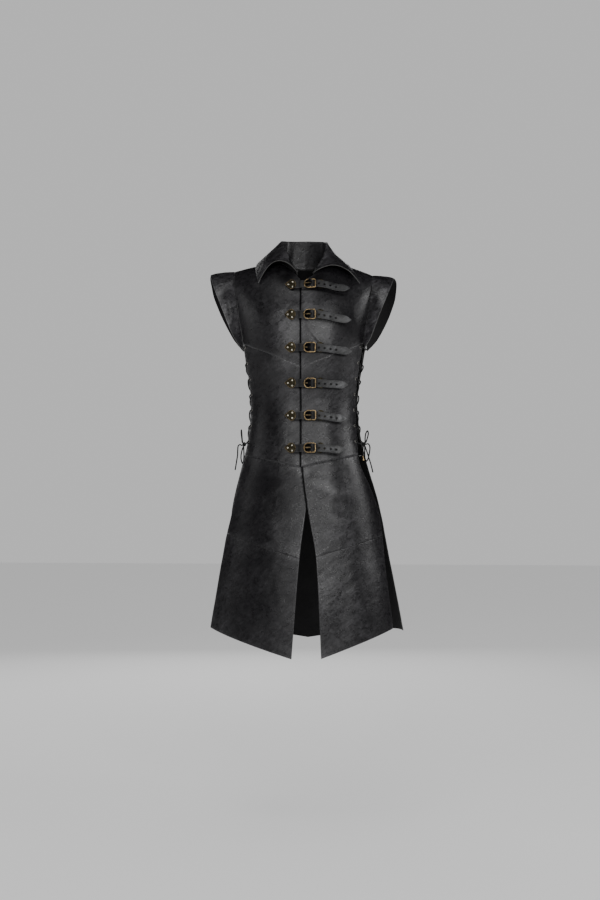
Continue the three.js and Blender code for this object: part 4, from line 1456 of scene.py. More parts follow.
@dataclass
class Panel:
    """One leather panel of the body, between two edges and two lines.

    Attributes:
        name: the panel's name.
        face: the half of the form that it lies on.
        near: angle of its near edge by height.
        far: angle of its far edge by height.
        top: height of its top by X.
        foot: height of its foot by X.
        trims: what its top and foot are cut back by at seams.
        seams: its sewn edges.
        lift: how far it lies above the form by X.
        wall: thickness of the leather.
        cell: size of its mesh.
        settle_steps: rounds in which its top and foot find their lines.
        seam_dip: how far the leather sinks at a seam of the body and of the skirt.
        edge_dip: how far it sinks at an open edge.
        pucker: height of the waves that the stitches draw beside a seam.
        pucker_pitch: from wave to wave.
    """

    name: str
    face: Face
    near: Line
    far: Line
    top: Line
    foot: Line
    trims: tuple[float, float]
    seams: tuple[Edge, ...]
    lift: Line = np.zeros_like
    wall: float = 2.2
    cell: float = 3.5
    settle_steps: int = 6
    seam_dip: tuple[float, float] = (0.7, 0.32)
    edge_dip: float = 0.3
    pucker: float = 0.3
    pucker_pitch: float = 8.5

    def angles(self, across: Array, z: Array) -> Array:
        """The form's angle at a share of the way across, at a height.

        Args:
            across: from the near edge, or from the right one behind, 0 to 1.
            z: height.

        Returns:
            Angles.
        """
        if self.face is Face.FRONT:
            return mix(self.near(z), self.far(z), across ** (FORM.squareness / 2))
        outer = np.where(across < 0.5, self.near(z), self.far(z))
        return outer * np.abs(power(2 * across - 1, FORM.squareness / 2))

    def settle(self, across: Array, line: Line, start: float) -> Array:
        """The height at which each column meets a line.

        Args:
            across: the columns' places.
            line: height by X.
            start: the height to begin from.

        Returns:
            A height for each column.
        """
        z = np.full_like(across, start)
        for _ in range(self.settle_steps):
            z = line(FORM.point(self.angles(across, z), z, self.face)[..., 0])
        return z

    def lay(self, across: Array, down: Array) -> Array:
        """Points of the form under the panel.

        Args:
            across: the columns' places, 0 to 1.
            down: the rows' places, 0 to 1.

        Returns:
            Rows by columns by 3.
        """
        top = self.settle(across, self.top, -60.0) - self.trims[0]
        foot = self.settle(across, self.foot, -500.0) + self.trims[1]
        x = FORM.point(self.angles(across, top), top, self.face)[..., 0]
        first, last = FORM.run_of(x, top, self.face), FORM.run_of(x, foot, self.face)
        z = FORM.height_of(x[None], mix(first[None], last[None], down[:, None]), self.face)
        return FORM.point(self.angles(across[None], z), z, self.face)

    def surface(self) -> Surface:
        """Draw the panel's outside, with its folds and puckered seams.

        Returns:
            The surface, its columns and rows evenly spaced on the leather.
        """
        trial = np.linspace(0, 1, 161)
        rough = self.lay(trial, np.array((0, 0.5, 1.0)))
        steps = np.linalg.norm(np.diff(rough[1], axis=0), axis=-1)
        along = np.concatenate(([0], np.cumsum(steps)))
        tall = float(np.linalg.norm(rough[2] - rough[0], axis=-1).max()) * 1.04
        across = np.interp(shares(along[-1], self.cell) * along[-1], along, trial)
        points = self.lay(across, shares(tall, self.cell))
        x, z = points[..., 0], points[..., 2]
        flat = Surface(points, np.stack((np.zeros_like(x), np.zeros_like(x), np.minimum(z, -300)), -1))
        height = self.lift(x) + self.wall + relief(x, z, self.face)
        for edge, gap in flat.distances().items():
            if edge in self.seams:
                height -= np.where(z > SKIRT_SEAMS, *self.seam_dip) * hump(gap, 1.6)
                beat = np.sin(x * TURN / self.pucker_pitch + 2.5 * clouds(x, z, 30, 2.2))
                height += self.pucker * beat * fall(gap, 6) * (gap > 0.5)
            else:
                height -= self.edge_dip * hump(gap, 1.2)
        return flat.raised(height)


# ------------------------------------------------------------------ body
@dataclass
class Body:
    """The eight front panels, the bodice back and the skirt back.

    Attributes:
        maker: makes the pieces.
        armholes: X of the armhole's edge by height, per face.
        necklines: height of the neckline by distance from the middle.
        seams: height at the middle and climb of each seam, per side.
        splits: X of the front split's edges by height.
        side_edges: angle of the laced and slit side edges by height, in degrees.
        arm_foot: height of the armhole's foot.
        underlap: how far the right front reaches under the left.
        overlap_lift: how far the left front lies above the form there.
        gap: between pieces at seams.
        wall: thickness of the leather.
    """

    maker: Maker
    armholes: dict[Face, tuple[tuple[float, float], ...]] = field(default_factory=lambda: {
        Face.FRONT: ((0, 194), (-24, 193), (-50, 190), (-90, 185), (-135, 177.5), (-175, 171.5), (-224, 165)),
        Face.BACK: ((0, 194), (-24, 193), (-50, 191), (-90, 187), (-135, 181), (-175, 177), (-224, 171))})
    necklines: dict[str, tuple[tuple[float, float], ...]] = field(default_factory=lambda: {
        "right": ((0, -63), (14, -44), (28, -31), (45, -16), (62, -5), (75, 0)),
        "left": ((0, -65), (20, -53), (35, -42), (52, -23), (66, -7), (75, 0)),
        "back": ((0, -12), (35, -9), (60, -4), (75, 0))})
    seams: dict[str, tuple[float, float]] = field(default_factory=lambda: {
        "chest_right": (-294, 0.4), "chest_left": (-294, 0.4), "waist_right": (-567, 0.2),
        "waist_left": (-567, 0.22), "skirt_right": (-814, 0.31), "skirt_left": (-821, 0.3),
        "hem_right": (-1085, 0.31), "hem_left": (-1098, 0.37), "waist_back": (-567, 0.19),
        "hem_back": (-1072, 0.16)})
    splits: dict[Side, tuple[tuple[float, float], ...]] = field(default_factory=lambda: {
        Side.RIGHT: ((-540, 29), (-567, 28), (-680, 14), (-810, -2), (-1100, -23)),
        Side.LEFT: ((-540, 2), (-567, 4), (-680, 19), (-820, 43), (-1100, 58))})
    side_edges: dict[tuple[Face, Side], tuple[tuple[float, float], ...]] = field(default_factory=lambda: {
        (Face.FRONT, Side.RIGHT): ((-224, 68), (-320, 68.5), (-400, 70), (-480, 68), (-567, 65), (-690, 62),
                                   (-780, 65), (-1100, 63)),
        (Face.FRONT, Side.LEFT): ((-224, 68), (-320, 68.5), (-400, 70), (-480, 67), (-550, 60), (-620, 68),
                                  (-700, 76), (-850, 67), (-1100, 60)),
        (Face.BACK, Side.RIGHT): ((-224, 77), (-400, 76), (-550, 79), (-760, 72), (-1100, 68)),
        (Face.BACK, Side.LEFT): ((-224, 77), (-400, 76), (-540, 79), (-1100, 86))})
    arm_foot: float = -224
    underlap: float = 26
    overlap_lift: float = 3.0
    gap: float = 0.3
    wall: float = 2.2

    def __post_init__(self) -> None:
        """Draw the smooth lines through the tables."""
        tables = (self.armholes, self.necklines, self.splits, self.side_edges)
        self.arm_line, self.neck_line, self.split_line, self.side_line = (
            {key: Curve(rows) for key, rows in table.items()} for table in tables)
        self.surfaces: dict[str, Surface] = {}

    def arm_angle(self, face: Face, z: Array) -> Array:
        """Angle of the armhole's edge at a height."""
        return FORM.angle_at(self.arm_line[face](np.clip(z, self.arm_foot, 0)), z)

    def edge_angle(self, face: Face, side: Side, z: Array) -> Array:
        """Angle of a side edge at a height."""
        return np.radians(self.side_line[face, side](z))

    def split_at(self, side: Side, z: Array) -> Array:
        """X of the front split's edge at a height."""
        return self.split_line[side](np.clip(z, -1100, -540))

    def seam(self, name: str) -> Line:
        """A seam's height by X; it climbs towards the side.

        Args:
            name: the seam's row.

        Returns:
            The line.
        """
        foot, climb = self.seams[name]
        if name.endswith("back"):
            return lambda x: foot + climb * np.abs(x)
        sign = -1 if name.endswith("right") else 1
        return lambda x: foot + climb * sign * x

    def neck(self, name: str, sign: int | None) -> Line:
        """Height of the neckline and, past it, of the shoulder seam, by X.

        Args:
            name: the neckline's row.
            sign: of X on its side; None for the back.

        Returns:
            The line.
        """
        def line(x: Array) -> Array:
            """The height at X."""
            outwards = np.abs(x) if sign is None else np.maximum(0, sign * x)
            return np.where(outwards >= FORM.neck_half, FORM.ridge(x), self.neck_line[name](outwards))
        return line

    def lift(self, x: Array) -> Array:
        """How far the left front lies above the form."""
        return self.overlap_lift * (1 - ease((x - 60) / 70))

    def front(self, side: Side) -> list[Panel]:
        """Draw one front.

        Args:
            side: of the wearer.

        Returns:
            Its four panels, from the shoulder down.
        """
        sign, half, both = side.value, self.gap / 2, (Edge.TOP, Edge.FOOT)
        inner, lift = (0.0, self.lift) if side is Side.LEFT else (self.underlap, np.zeros_like)
        edges = {"front": lambda z: FORM.angle_at(np.full_like(z, inner), z),
                 "split": lambda z: FORM.angle_at(self.split_at(side, z), z),
                 "arm": lambda z: sign * self.arm_angle(Face.FRONT, z),
                 "side": lambda z: sign * self.edge_angle(Face.FRONT, side, z)}
        rows = (("chest", "front", "arm", (0, half), (Edge.FOOT,)),
                ("waist", "front", "side", (half, half), both),
                ("skirt_upper", "split", "side", (half, half), both),
                ("skirt_lower", "split", "side", (half, 0), (Edge.TOP,)))
        lines = [self.neck(side.word, sign)]
        lines += [self.seam(f"{name}_{side.word}") for name in ("chest", "waist", "skirt", "hem")]
        return [Panel(f"front_{name}_{side.word}", Face.FRONT, edges[near], edges[far], top, foot, trims,
                      seams, lift)
                for (name, near, far, trims, seams), top, foot in zip(rows, lines, lines[1:])]

    def back(self) -> list[Panel]:
        """Draw the back.

        Returns:
            The bodice and the skirt.
        """
        def slit(side: Side) -> Line:
            """Angle of a side edge by height."""
            return lambda z: side.value * self.edge_angle(Face.BACK, side, z)

        def outer(side: Side) -> Line:
            """Angle of the armhole's edge and, below it, of the side edge, by height."""
            return lambda z: np.where(z > self.arm_foot, side.value * self.arm_angle(Face.BACK, z),
                                      slit(side)(z))

        waist, hem, half = self.seam("waist_back"), self.seam("hem_back"), self.gap / 2
        return [Panel("back_bodice", Face.BACK, *map(outer, Side), self.neck("back", None), waist,
                      (0, half), (Edge.FOOT,)),
                Panel("back_skirt", Face.BACK, *map(slit, Side), waist, hem, (half, 0), (Edge.TOP,))]

    def under(self, surface: Surface, name: str) -> Array:
        """Where a right front lies in the shade of the left one's edge.

        Args:
            surface: the panel's outside.
            name: the panel's name.

        Returns:
            Shade from 0 to 1 at each point; none on other panels.
        """
        x, z = surface.points[..., 0], surface.points[..., 2]
        edge = np.where(z > -567, 0, self.split_at(Side.LEFT, z))
        shade = np.clip((x - edge + 6.2) / 3.6, 0, 1) * ease((z + 760) / 60)
        return shade * (name.startswith("front") and name.endswith("right"))

    def build(self, lacing: Lacing) -> None:
        """Make every body panel, with the eyelet holes where the laces pass.

        Args:
            lacing: gives the eyelets' places.
        """
        holes = {"back_bodice": [(Face.BACK, side) for side in Side]}
        holes |= {f"front_waist_{side.word}": [(Face.FRONT, side)] for side in Side}
        for panel in [*self.front(Side.RIGHT), *self.front(Side.LEFT), *self.back()]:
            surface = self.surfaces[panel.name] = panel.surface()
            fields = body_fields(surface, panel.face, panel.seams, self.under(surface, panel.name))
            made = self.maker.leather(panel.name, surface, fields, [panel.name], self.wall)
            places = [place for key in holes.get(panel.name, ()) for place in lacing.eyelet_places(*key)]
            if places:
                self.maker.carve(made, *lacing.hole_cutters(places))
            self.maker.round_edges(made)


# ------------------------------------------------------------------ shoulder wings
@dataclass
class Wings:
    """The two curved wings sewn round the armholes.

    Attributes:
        maker: makes the pieces.
        body: gives the armholes.
        edge: X, Y and Z of the free edge, from its foot in front over the shoulder to its foot behind.
        shift: what is added to X and Z of the free edge at its top, per side.
        crown: how far the wing arches between seam and edge.
        clear: gap at the seam.
        wall: thickness of the leather.
        length: along the seam, about.
        width: from seam to edge, about.
        columns: of its mesh along the seam.
        rows: of its mesh from seam to edge.
        arm: the middle of the left arm, which the wings face away from.
    """

    maker: Maker
    body: Body
    edge: tuple[Place, ...] = (
        (170, -66, -240), (188, -78, -212), (204, -86, -176), (221, -86, -132), (240, -74, -87),
        (255, -46, -49), (262, -6, -30), (268, 36, -42), (264, 64, -76), (250, 82, -118), (230, 88, -162),
        (204, 82, -206), (175, 60, -240))
    shift: dict[Side, tuple[float, float]] = field(default_factory=lambda: {
        Side.RIGHT: (0, 0), Side.LEFT: (-9, -14)})
    crown: float = 5
    clear: float = 0.45
    wall: float = 2.2
    length: float = 480
    width: float = 78
    columns: int = 150
    rows: int = 24
    arm: Place = (120, 0, -230)

    def __post_init__(self) -> None:
        """Draw the smooth lines through the free edge."""
        self.lines = curves(self.edge)
        self.surfaces: dict[str, Surface] = {}

    def armhole(self, share: Array, side: Side, inwards: float = 0) -> Array:
        """Points of the armhole's edge, or of a line further in on the form.

        Args:
            share: 0 at its foot in front, 0.5 at the shoulder, 1 at its foot behind.
            side: of the wearer.
            inwards: angle from the edge.

        Returns:
            The points.
        """
        down = np.abs(share - 0.5) * 2
        run = mix(-FORM.shoulder_run, FORM.chest_level - self.body.arm_foot, down)
        x = np.full_like(run, side.value * FORM.arm_top)
        found = []
        for face in Face:
            z = FORM.height_of(x, run, face)
            found.append(FORM.point(side.value * (self.body.arm_angle(face, z) - inwards), z, face))
        return np.where(share[:, None] < 0.5, *found)

    def corner(self, share: Array, side: Side) -> Array:
        """Points of the panels' outer corner, where the wing is sewn on.

        Args:
            share: place along the armhole.
            side: of the wearer.

        Returns:
            The points.
        """
        step = 0.01
        point = self.armhole(share, side)
        before, after = np.maximum(0, share - step), np.minimum(1, share + step)
        along = self.armhole(after, side) - self.armhole(before, side)
        normal = normalised(np.cross(along, self.armhole(share, side, 0.03) - point))
        away = np.sum(normal * (point - self.arm_at(side)), -1, keepdims=True)
        return point + np.where(away < 0, -normal, normal) * self.wall

    def arm_at(self, side: Side) -> Array:
        """The middle of the arm."""
        return np.array(self.arm) * (side.value, 1, 1)

    def surface(self, side: Side) -> Surface:
        """Draw the outside of one wing.

        Args:
            side: of the wearer.

        Returns:
            The surface, drawn up at the seam and uneven.
        """
        along = shares(self.length, self.length / self.columns)
        out = shares(self.width, self.width / self.rows)
        high = np.sin(math.pi * along)
        x, y, z = (line(along * (len(self.edge) - 1)) for line in self.lines)
        dx, dz = self.shift[side]
        edge = np.stack((side.value * (x + dx * high), y, z + dz * high), -1)
        seam = self.corner(along, side)
        start = seam + normalised(edge - seam) * self.clear
        points = mix(start[None], edge[None], out[:, None, None])
        y = points[..., 1]
        bulge = np.stack((np.full_like(y, side.value * 0.5), y * 0.006, np.full_like(y, 0.6)), -1)
        arch = self.crown * 4 * out * (1 - out)
        flat = Surface(points + bulge * arch[:, None, None] * high[None, :, None], self.arm_at(side))
        length, width = np.meshgrid(along * self.length, out * self.width)
        grown = clouds(length, width, 26, 7.7 + side.value)
        fine = clouds(length, width * 0.35, 7, 1.3 + side.value)
        pucker = np.sin(length * TURN / 13 + 4 * grown) * fall(width, 9)
        height = (0.9 * grown + 0.45 * fine * fall(width, 22) + 0.5 * pucker) * high**0.3
        return flat.raised(height - 0.5 * hump(width, 1.5))

    def build(self) -> None:
        """Make both wings."""
        for side in Side:
            name = f"wing_{side.word}"
            surface = self.surfaces[name] = self.surface(side)
            gaps = surface.distances()
            edge = np.minimum(np.minimum(gaps[Edge.NEAR], gaps[Edge.FAR]), gaps[Edge.FOOT])
            patchy = clouds(gaps[Edge.NEAR], gaps[Edge.TOP], 28, 2.9 + side.value)
            # A wing's rub field is partly rubbing and partly painted sheen: its patches lighten the leather
            # as highlights would.
            rub = 1.15 + 0.9 * patchy + 0.35 * fall(edge, 12) + 0.3 * fall(gaps[Edge.TOP], 10)
            wear = np.maximum(hump(edge, 1.3), 0.5 * hump(gaps[Edge.TOP], 1))
            fields = {"rub": np.clip(rub, 0, 2.2), "wear": wear}
            made = self.maker.leather(name, surface, fields, [name], self.wall)
            self.maker.round_edges(made)


# ------------------------------------------------------------------ collar
@dataclass
class Collar:
    """The standing collar, rolled over and laid down as a wide leaf, in one piece of leather.

    Attributes:
        maker: makes the piece.
        body: gives the neckline.
        sections: from the wearer's right front to the left: X where the stand meets the neckline; the
            fold's X, Y, Z; the free edge's X, Y, Z; how far the leaf bulges outwards and up.
        wall: thickness of the leather.
        leaf_clear: from the stand to the leaf at the fold.
        stand_clear: how far the stand's foot lies above and inside the neckline.
        neck: the middle of the neck.
        leaf_middle: a height inside the leaf, which it faces away from.
        length: along the fold, about.
        cell: size of its mesh along the fold.
        leaf_rows: of its mesh down the leaf, but for the fine ones.
        roll_rows: over the roll.
        roll_rise: how far the roll swings up.
        stand_rows: down the stand.
    """

    maker: Maker
    body: Body
    sections: tuple[tuple[float, ...], ...] = (
        (-15, -15, -94, -33, -118, -98, -65, 6, 43), (-33, -32, -77, -9, -125, -80, -42, 6, 24),
        (-56, -51, -47, 33, -130, -50, -17, 2, 7), (-75, -64, -6, 60, -130, 0, -1, 0, 0),
        (-54, -50, 44, 66, -106, 78, -16, 5, 2), (0, 2, 62, 68, 2, 106, -26, 7, 3),
        (54, 53, 44, 64, 102, 78, -18, 4, 2), (71.5, 65, -6, 55, 121, 0, -6, -4, -2),
        (61.5, 62, -46, 26, 133, -46, -21, 0, 4), (51, 49, -76, -11, 149, -76, -46, 5, 14),
        (33, 32, -92, -37, 157, -93, -67, 6, 33))
    wall: float = 2.0
    leaf_clear: float = 0.5
    stand_clear: tuple[float, float] = (2.0, 2.4)
    neck: Place = (2, -14, 0)
    leaf_middle: float = -150
    length: float = 470
    cell: float = 3.3
    leaf_rows: int = 30
    roll_rows: int = 7
    roll_rise: float = 4.2
    stand_rows: int = 18

    def __post_init__(self) -> None:
        """Draw the smooth lines through the sections."""
        self.lines = curves(self.sections)
        self.made: Surface | None = None

    def outwards(self, points: Array) -> Array:
        """Level directions away from the neck."""
        return normalised((points - np.array(self.neck)) * np.array((1, 1, 0)))

    def base(self, along: Array, x: Array) -> Array:
        """Where the stand meets the neckline.

        Args:
            along: share of the way round.
            x: across, at each place.

        Returns:
            The points.
        """
        right, left, back = (self.body.neck_line[name](np.abs(x)) for name in ("right", "left", "back"))
        behind = (along > 0.3) & (along < 0.7)
        z = np.where(behind, back, np.where(x < 0, right, left))
        point = np.where(behind[:, None], FORM.at(x, z, Face.BACK), FORM.at(x, z, Face.FRONT))
        point = point + np.array((0, 0, self.stand_clear[0]))
        return point - self.outwards(point) * self.stand_clear[1]

    def surface(self) -> Surface:
        """Draw the collar's grain side: up the leaf, over the roll and down inside the stand.

        Returns:
            The surface.
        """
        along = shares(self.length, self.cell)
        read = [line(along * (len(self.sections) - 1)) for line in self.lines]
        fold, edge = np.stack(read[1:4], -1), np.stack(read[4:7], -1)
        out, up = read[7][:, None], read[8][:, None] * np.array((0, 0, 1))
        start = fold + self.outwards(fold) * self.leaf_clear
        rows = []
        for down in shares(100, 100 / self.leaf_rows):
            point = mix(start, edge, down)
            rows.append(point + 4 * down * (1 - down) * (self.outwards(point) * out + up))
        leaf = Surface(np.array(rows), (*self.neck[:2], self.leaf_middle)).raised(self.wall).points
        foot = self.base(along, read[0])
        stand = mix(fold[None], foot[None], np.linspace(0, 1, self.stand_rows)[:, None, None])
        centre = stand.copy()
        centre[..., :2] = self.neck[:2]
        stand = Surface(stand, centre).raised(-self.wall).points
        rise = leaf[0] + normalised(leaf[0] - leaf[2]) * self.roll_rise
        sink = stand[0] - normalised(stand[1] - stand[0]) * self.roll_rise
        roll = [leaf[0] * (1 - t) ** 3 + rise * 3 * t * (1 - t) ** 2 + sink * 3 * t**2 * (1 - t)
                + stand[0] * t**3 for t in np.linspace(0, 1, self.roll_rows + 2)[1:-1]]
        return self.creased(np.concatenate((leaf[::-1], np.array(roll), stand)), leaf.shape[0])

    def creased(self, points: Array, leaf_rows: int) -> Surface:
        """The collar with its soft dents.

        Args:
            points: its smooth grain side.
            leaf_rows: how many of the rows belong to the leaf.

        Returns:
            The surface, which faces out all the way over the roll.
        """
        surface = Surface(points, (0, 0, 0))
        up = np.cross(np.gradient(points, axis=1), np.gradient(points, axis=0))
        sign = np.sign(np.sum(up[leaf_rows // 2] * np.array((0, 0, 1.0)), -1).mean())
        normals = normalised(up) * sign
        gaps = surface.distances()
        length, width = gaps[Edge.NEAR], gaps[Edge.TOP]
        height = 0.6 * clouds(length, width, 34, 4.4) + 0.25 * clouds(length, width, 11, 9.1)
        quiet = ease(width / 6) * ease(gaps[Edge.FOOT] / 12)
        moved = Surface(points + normals * (height * quiet)[..., None], (0, 0, 0))
        moved.normals = normals
        return moved

    def build(self) -> None:
        """Make the collar."""
        surface = self.made = self.surface()
        gaps = surface.distances()
        width = gaps[Edge.TOP]
        edge = np.minimum(np.minimum(gaps[Edge.NEAR], gaps[Edge.FAR]), width)
        fold = np.abs(width - width[self.leaf_rows + self.roll_rows // 2 + 4])
        # Painted shade inside the stand: the rub field is lowered there.
        inside = ease((width - width[self.leaf_rows + self.roll_rows]) / 6)
        rub = (0.9 + 0.5 * fall(edge, 10) + 0.5 * fall(fold, 12)) * (1 - 0.55 * inside)
        fields = {"rub": rub, "wear": np.maximum(hump(edge, 1.3), 0.25 * fall(fold, 4))}
        nodes = ["collar_leaf", "collar_stand"]
        made = self.maker.leather("collar", surface, fields, nodes, self.wall, "folded")
        self.maker.round_edges(made)


# ------------------------------------------------------------------ buckled straps
@dataclass
class Straps:
    """Six straps, each riveted to the right front and buckled over the left.

    Heights are above the form, and X runs along a strap.

    Attributes:
        maker: makes the pieces.
        rows: where each strap lies.
        width: of a strap.
        wall: of a strap.
        root: X of a strap's sewn end.
        rest: height of a strap's underside on the right front.
        face: height of the upper front's face, with a little room under the brass.
        gap: from there to what lies on it.
        tip_height: height of the point.
        point: length of the pointed end.
        holes: X of the punched holes.
        hole_drop: how far the holes lie below the strap's middle.
        hole: radius of a hole.
        slot: X from, X to and half height of the slot that the tongue's bar passes.
        bar: X, height and radius of the buckle's middle bar, and radius of the loops round it.
        buckle: X from and X to of the frame, its half width across the strap and its wire.
        corners: radius of the frame's corners on the bow and on the square side.
        buckle_height: height of the frame on its bow side.
        tilt: how fast the frame climbs from there.
        chape_wall: of a chape.
        chape_width: of a chape.
        chape_run: X of a chape's end and of the place where it leaves the front.
        chape_slot: size of the slot that the tongue passes.
        plate_wall: of a rivet plate.
        plate_half: X and Y of half a plate's outline, its pointed lobe first.
        rivets: X and Y of a plate's rivets.
        rivet: radius and height of a rivet's head.
        plates: X of the middles of the root plate and of the chape's.
    """

    maker: Maker
    rows: tuple[StrapRow, ...] = STRAP_ROWS
    width: float = 20.6
    wall: float = 2.2
    root: float = -39
    rest: float = 2.9
    face: float = 5.6
    gap: float = 0.3
    tip_height: float = 12
    point: float = 15
    holes: tuple[float, ...] = (46.7, 61.3, 76.8, 91.4)
    hole_drop: float = 0.6
    hole: float = 1.9
    slot: tuple[float, float, float] = (14, 28.6, 2.2)
    bar: tuple[float, float, float, float] = (24, 10.9, 1.2, 2.9)
    buckle: tuple[float, float, float, float] = (6.9, 38.6, 13.9, 2.7)
    corners: tuple[float, float] = (10.2, 3.4)
    buckle_height: float = 9.9
    tilt: float = 0.068
    chape_wall: float = 1.6
    chape_width: float = 18
    chape_run: tuple[float, float] = (72, 31)
    chape_slot: Place = (7.4, 3.8, 14)
    plate_wall: float = 1.1
    plate_half: tuple[tuple[float, float], ...] = (
        (18.5, 0.0), (16.6, 2.4), (13.7, 5.4), (10.5, 8.6), (7.5, 11.3), (4.9, 13.2), (2.0, 14.3),
        (-1.2, 14.2), (-4.2, 13.0), (-6.8, 11.0), (-8.8, 8.5), (-10.2, 5.8), (-11.0, 3.2), (-11.4, 1.0))
    rivets: tuple[tuple[float, float], ...] = ((9.8, 0), (-1.8, 7.3), (-1.8, -7.3))
    rivet: tuple[float, float] = (2.45, 1.6)
    plates: tuple[float, float] = (-26.5, 50)

    def under(self, tip: float) -> Curve:
        """Underside of a strap by X."""
        f = self.face
        return Curve([(-37, self.rest), (-9, self.rest), (-2, f + self.gap), (10.4, f + self.gap),
                      (20.4, f + 8.5), (27.6, f + 8.5), (34, f + 2.2), (37.8, f + 2.2), (43, f + 5.1),
                      (54, f + 5.1), (72, f + 4.6), (90, f + 1.6), (tip - 12, self.tip_height - 1.5),
                      (tip, self.tip_height)])

    def bend(self, level: float, x: Array, side: Array, height: Array) -> Array:
        """Places on the front at one level, from places on a flat strap.

        Args:
            level: the strap's height on the jerkin.
            x: along the strap.
            side: across the strap, upwards.
            height: above the form.

        Returns:
            The points.
        """
        lean = FORM.facing(np.array([self.bar[0]], float), np.array([level], float), Face.FRONT)[0]
        up = normalised(np.array((0, 0, 1.0)) - lean * lean[2])
        x = np.asarray(x, float)
        z = np.full_like(x, level)
        rise = height + relief(x, z, Face.FRONT)
        point = FORM.at(x, z, Face.FRONT) + FORM.facing(x, z, Face.FRONT) * rise[..., None]
        return point + up * np.asarray(side)[..., None]

    def warp(self, bm: BMesh, level: float) -> BMesh:
        """Bend a flat shape, in millimetres, onto the front.

        Args:
            bm: X along the strap, Y across it, Z its height; it is changed.
            level: the strap's height on the jerkin.

        Returns:
            The same shape, in metres.
        """
        bm.verts.ensure_lookup_table()
        flat = np.array([v.co for v in bm.verts])
        placed = self.bend(level, flat[:, 0], flat[:, 1], flat[:, 2]) * MM
        for vert, place in zip(bm.verts, placed):
            vert.co = place
        bmesh.ops.recalc_face_normals(bm, faces=bm.faces)
        return bm

    def strap(self, number: int, row: StrapRow) -> None:
        """Make one strap with its slot and holes.

        Args:
            number: of the strap, from the top.
            row: where it lies.
        """
        tip, marks = row.tip, [(hole, -row.droop(hole) - self.hole_drop) for hole in self.holes]
        x = mix(self.root, tip, shares(tip - self.root, 1.9, (0.5, 1.2, 2.2)))
        to_tip = np.clip((x - (tip - self.point)) / self.point, 0, 1)
        to_root = np.clip((self.root + 14 - x) / 14, 0, 1)
        half = (self.width / 2 * (1 - 0.93 * to_tip**1.55) * (1 - 0.55 * to_root**1.3))[:, None]
        length, across = np.meshgrid(x, 2 * shares(self.width, 1.7, (0.45, 1.1)) - 1, indexing="ij")
        middle = 1 - across**2
        crown = 0.35 * middle + 0.3 * clouds(length, across * 8, 17, number)
        curl = 0.5 * ease((length - 75) / 30) * np.sin(length / 11 + number) * across
        height = self.under(tip)(x)[:, None] + self.wall + crown + curl
        side = -row.droop(x)[:, None] + half * across
        points = self.bend(row.level, length, side, height)
        surface = Surface(points, points - FORM.facing(length, np.full_like(length, row.level), Face.FRONT))
        wear = 0.6 * hump((1 - np.abs(across)) * half, 0.8)
        # Painted shade where the strap runs under the buckle.
        wear = wear - 0.85 * ease((length - 8) / 3) * ease((28 - length) / 4)
        # Painted shade in and round each punched hole.
        for hole, low in marks:
            wear = wear - 1.3 * hump((length - hole) ** 2 + (side - low) ** 2, 2.9**2)
        rub = 0.25 + 0.6 * middle * ease((length - 50) / 24) + 0.5 * ease((length - tip + 26) / 20)
        fields = {"rub": 0.12 + ease((length - 38) / 12) * rub, "wear": wear}
        made = self.maker.leather(f"strap_{number}", surface, fields, [f"strap_{number}"], self.wall, None,
                                  "strap_leather", self.maker.finishes.strap)
        first, last, open_half = self.slot
        cutters = [self.maker.block((last - first, 2 * open_half, 30), ((first + last) / 2, 0, 12))]
        for hole, low in marks:
            pin = self.maker.rod(self.hole, 16, 12)
            bmesh.ops.translate(pin, verts=pin.verts, vec=(hole, low, float(self.under(tip)(np.array(hole)))))
            cutters.append(pin)
        self.maker.carve(made, *(self.warp(cutter, row.level) for cutter in cutters))
        self.maker.round_edges(made, 0.4)

    def frame_path(self) -> Array:
        """Middle line of the buckle's frame, seen flat: a bow on the left, square on the right.

        Returns:
            X and Y of evenly spaced points.
        """
        left, right, half, wire = self.buckle
        l, r, h = left + wire / 2, right - wire / 2, half - wire / 2
        bow, square = self.corners
        points = []
        for cx, cy, size, start, steps in (
                (l + bow, h - bow, bow, 90, 8), (l + bow, -h + bow, bow, 180, 8),
                (r - square, -h + square, square, 270, 5), (r - square, h - square, square, 0, 5)):
            for i in range(steps + 1):
                turn = math.radians(start + 90 * i / steps)
                points.append((cx + size * math.cos(turn), cy + size * math.sin(turn)))
            if start == 90:
                points += [(l, y) for y in np.linspace(h - bow, -h + bow, 5)[1:-1]]
        spaced = []
        for (ax, ay), (bx, by) in zip(points, points[1:] + points[:1]):
            steps = max(1, int(math.hypot(bx - ax, by - ay) / 3.5))
            spaced += [(mix(ax, bx, i / steps), mix(ay, by, i / steps)) for i in range(steps)]
        return np.array(spaced)

    def buckle_frame(self, number: int, level: float) -> None:
        """Make one buckle: its cast frame and middle bar.

        Args:
            number: of the strap.
            level: the strap's height on the jerkin.
        """
        path = self.frame_path()
        left, _, half, wire = self.buckle
        height = self.buckle_height + (path[:, 0] - left - wire / 2) * self.tilt
        swell = wire / 2 * (1 + 0.14 * np.cos(path[:, 1] / half * math.pi / 2) * (path[:, 0] > 30))
        hoop = self.maker.tube(np.column_stack((path, height)), swell, 12, closed=True)
        x, h, radius, _ = self.bar
        middle = np.array([(x, y, h) for y in np.linspace(1.5 - half, half - 1.5, 9)])
        bar = self.maker.tube(middle, radius, 12)
        whole = self.maker.merge(hoop, bar)
        bmesh.ops.scale(whole, verts=whole.verts, vec=(1 / MM,) * 3)
        name, whole = f"buckle_{number}", self.warp(whole, level)
        self.maker.piece(name, whole, [self.maker.finishes.brass], "brass", [name], wear=0.5)

    def arc(self, radius: float, first: float, last: float, count: int) -> list[tuple[float, float]]:
        """Points on a circle round the middle bar."""
        turns = np.radians(np.linspace(first, last, count + 1))
        return [(self.bar[0] + radius * math.cos(t), self.bar[1] + radius * math.sin(t)) for t in turns]

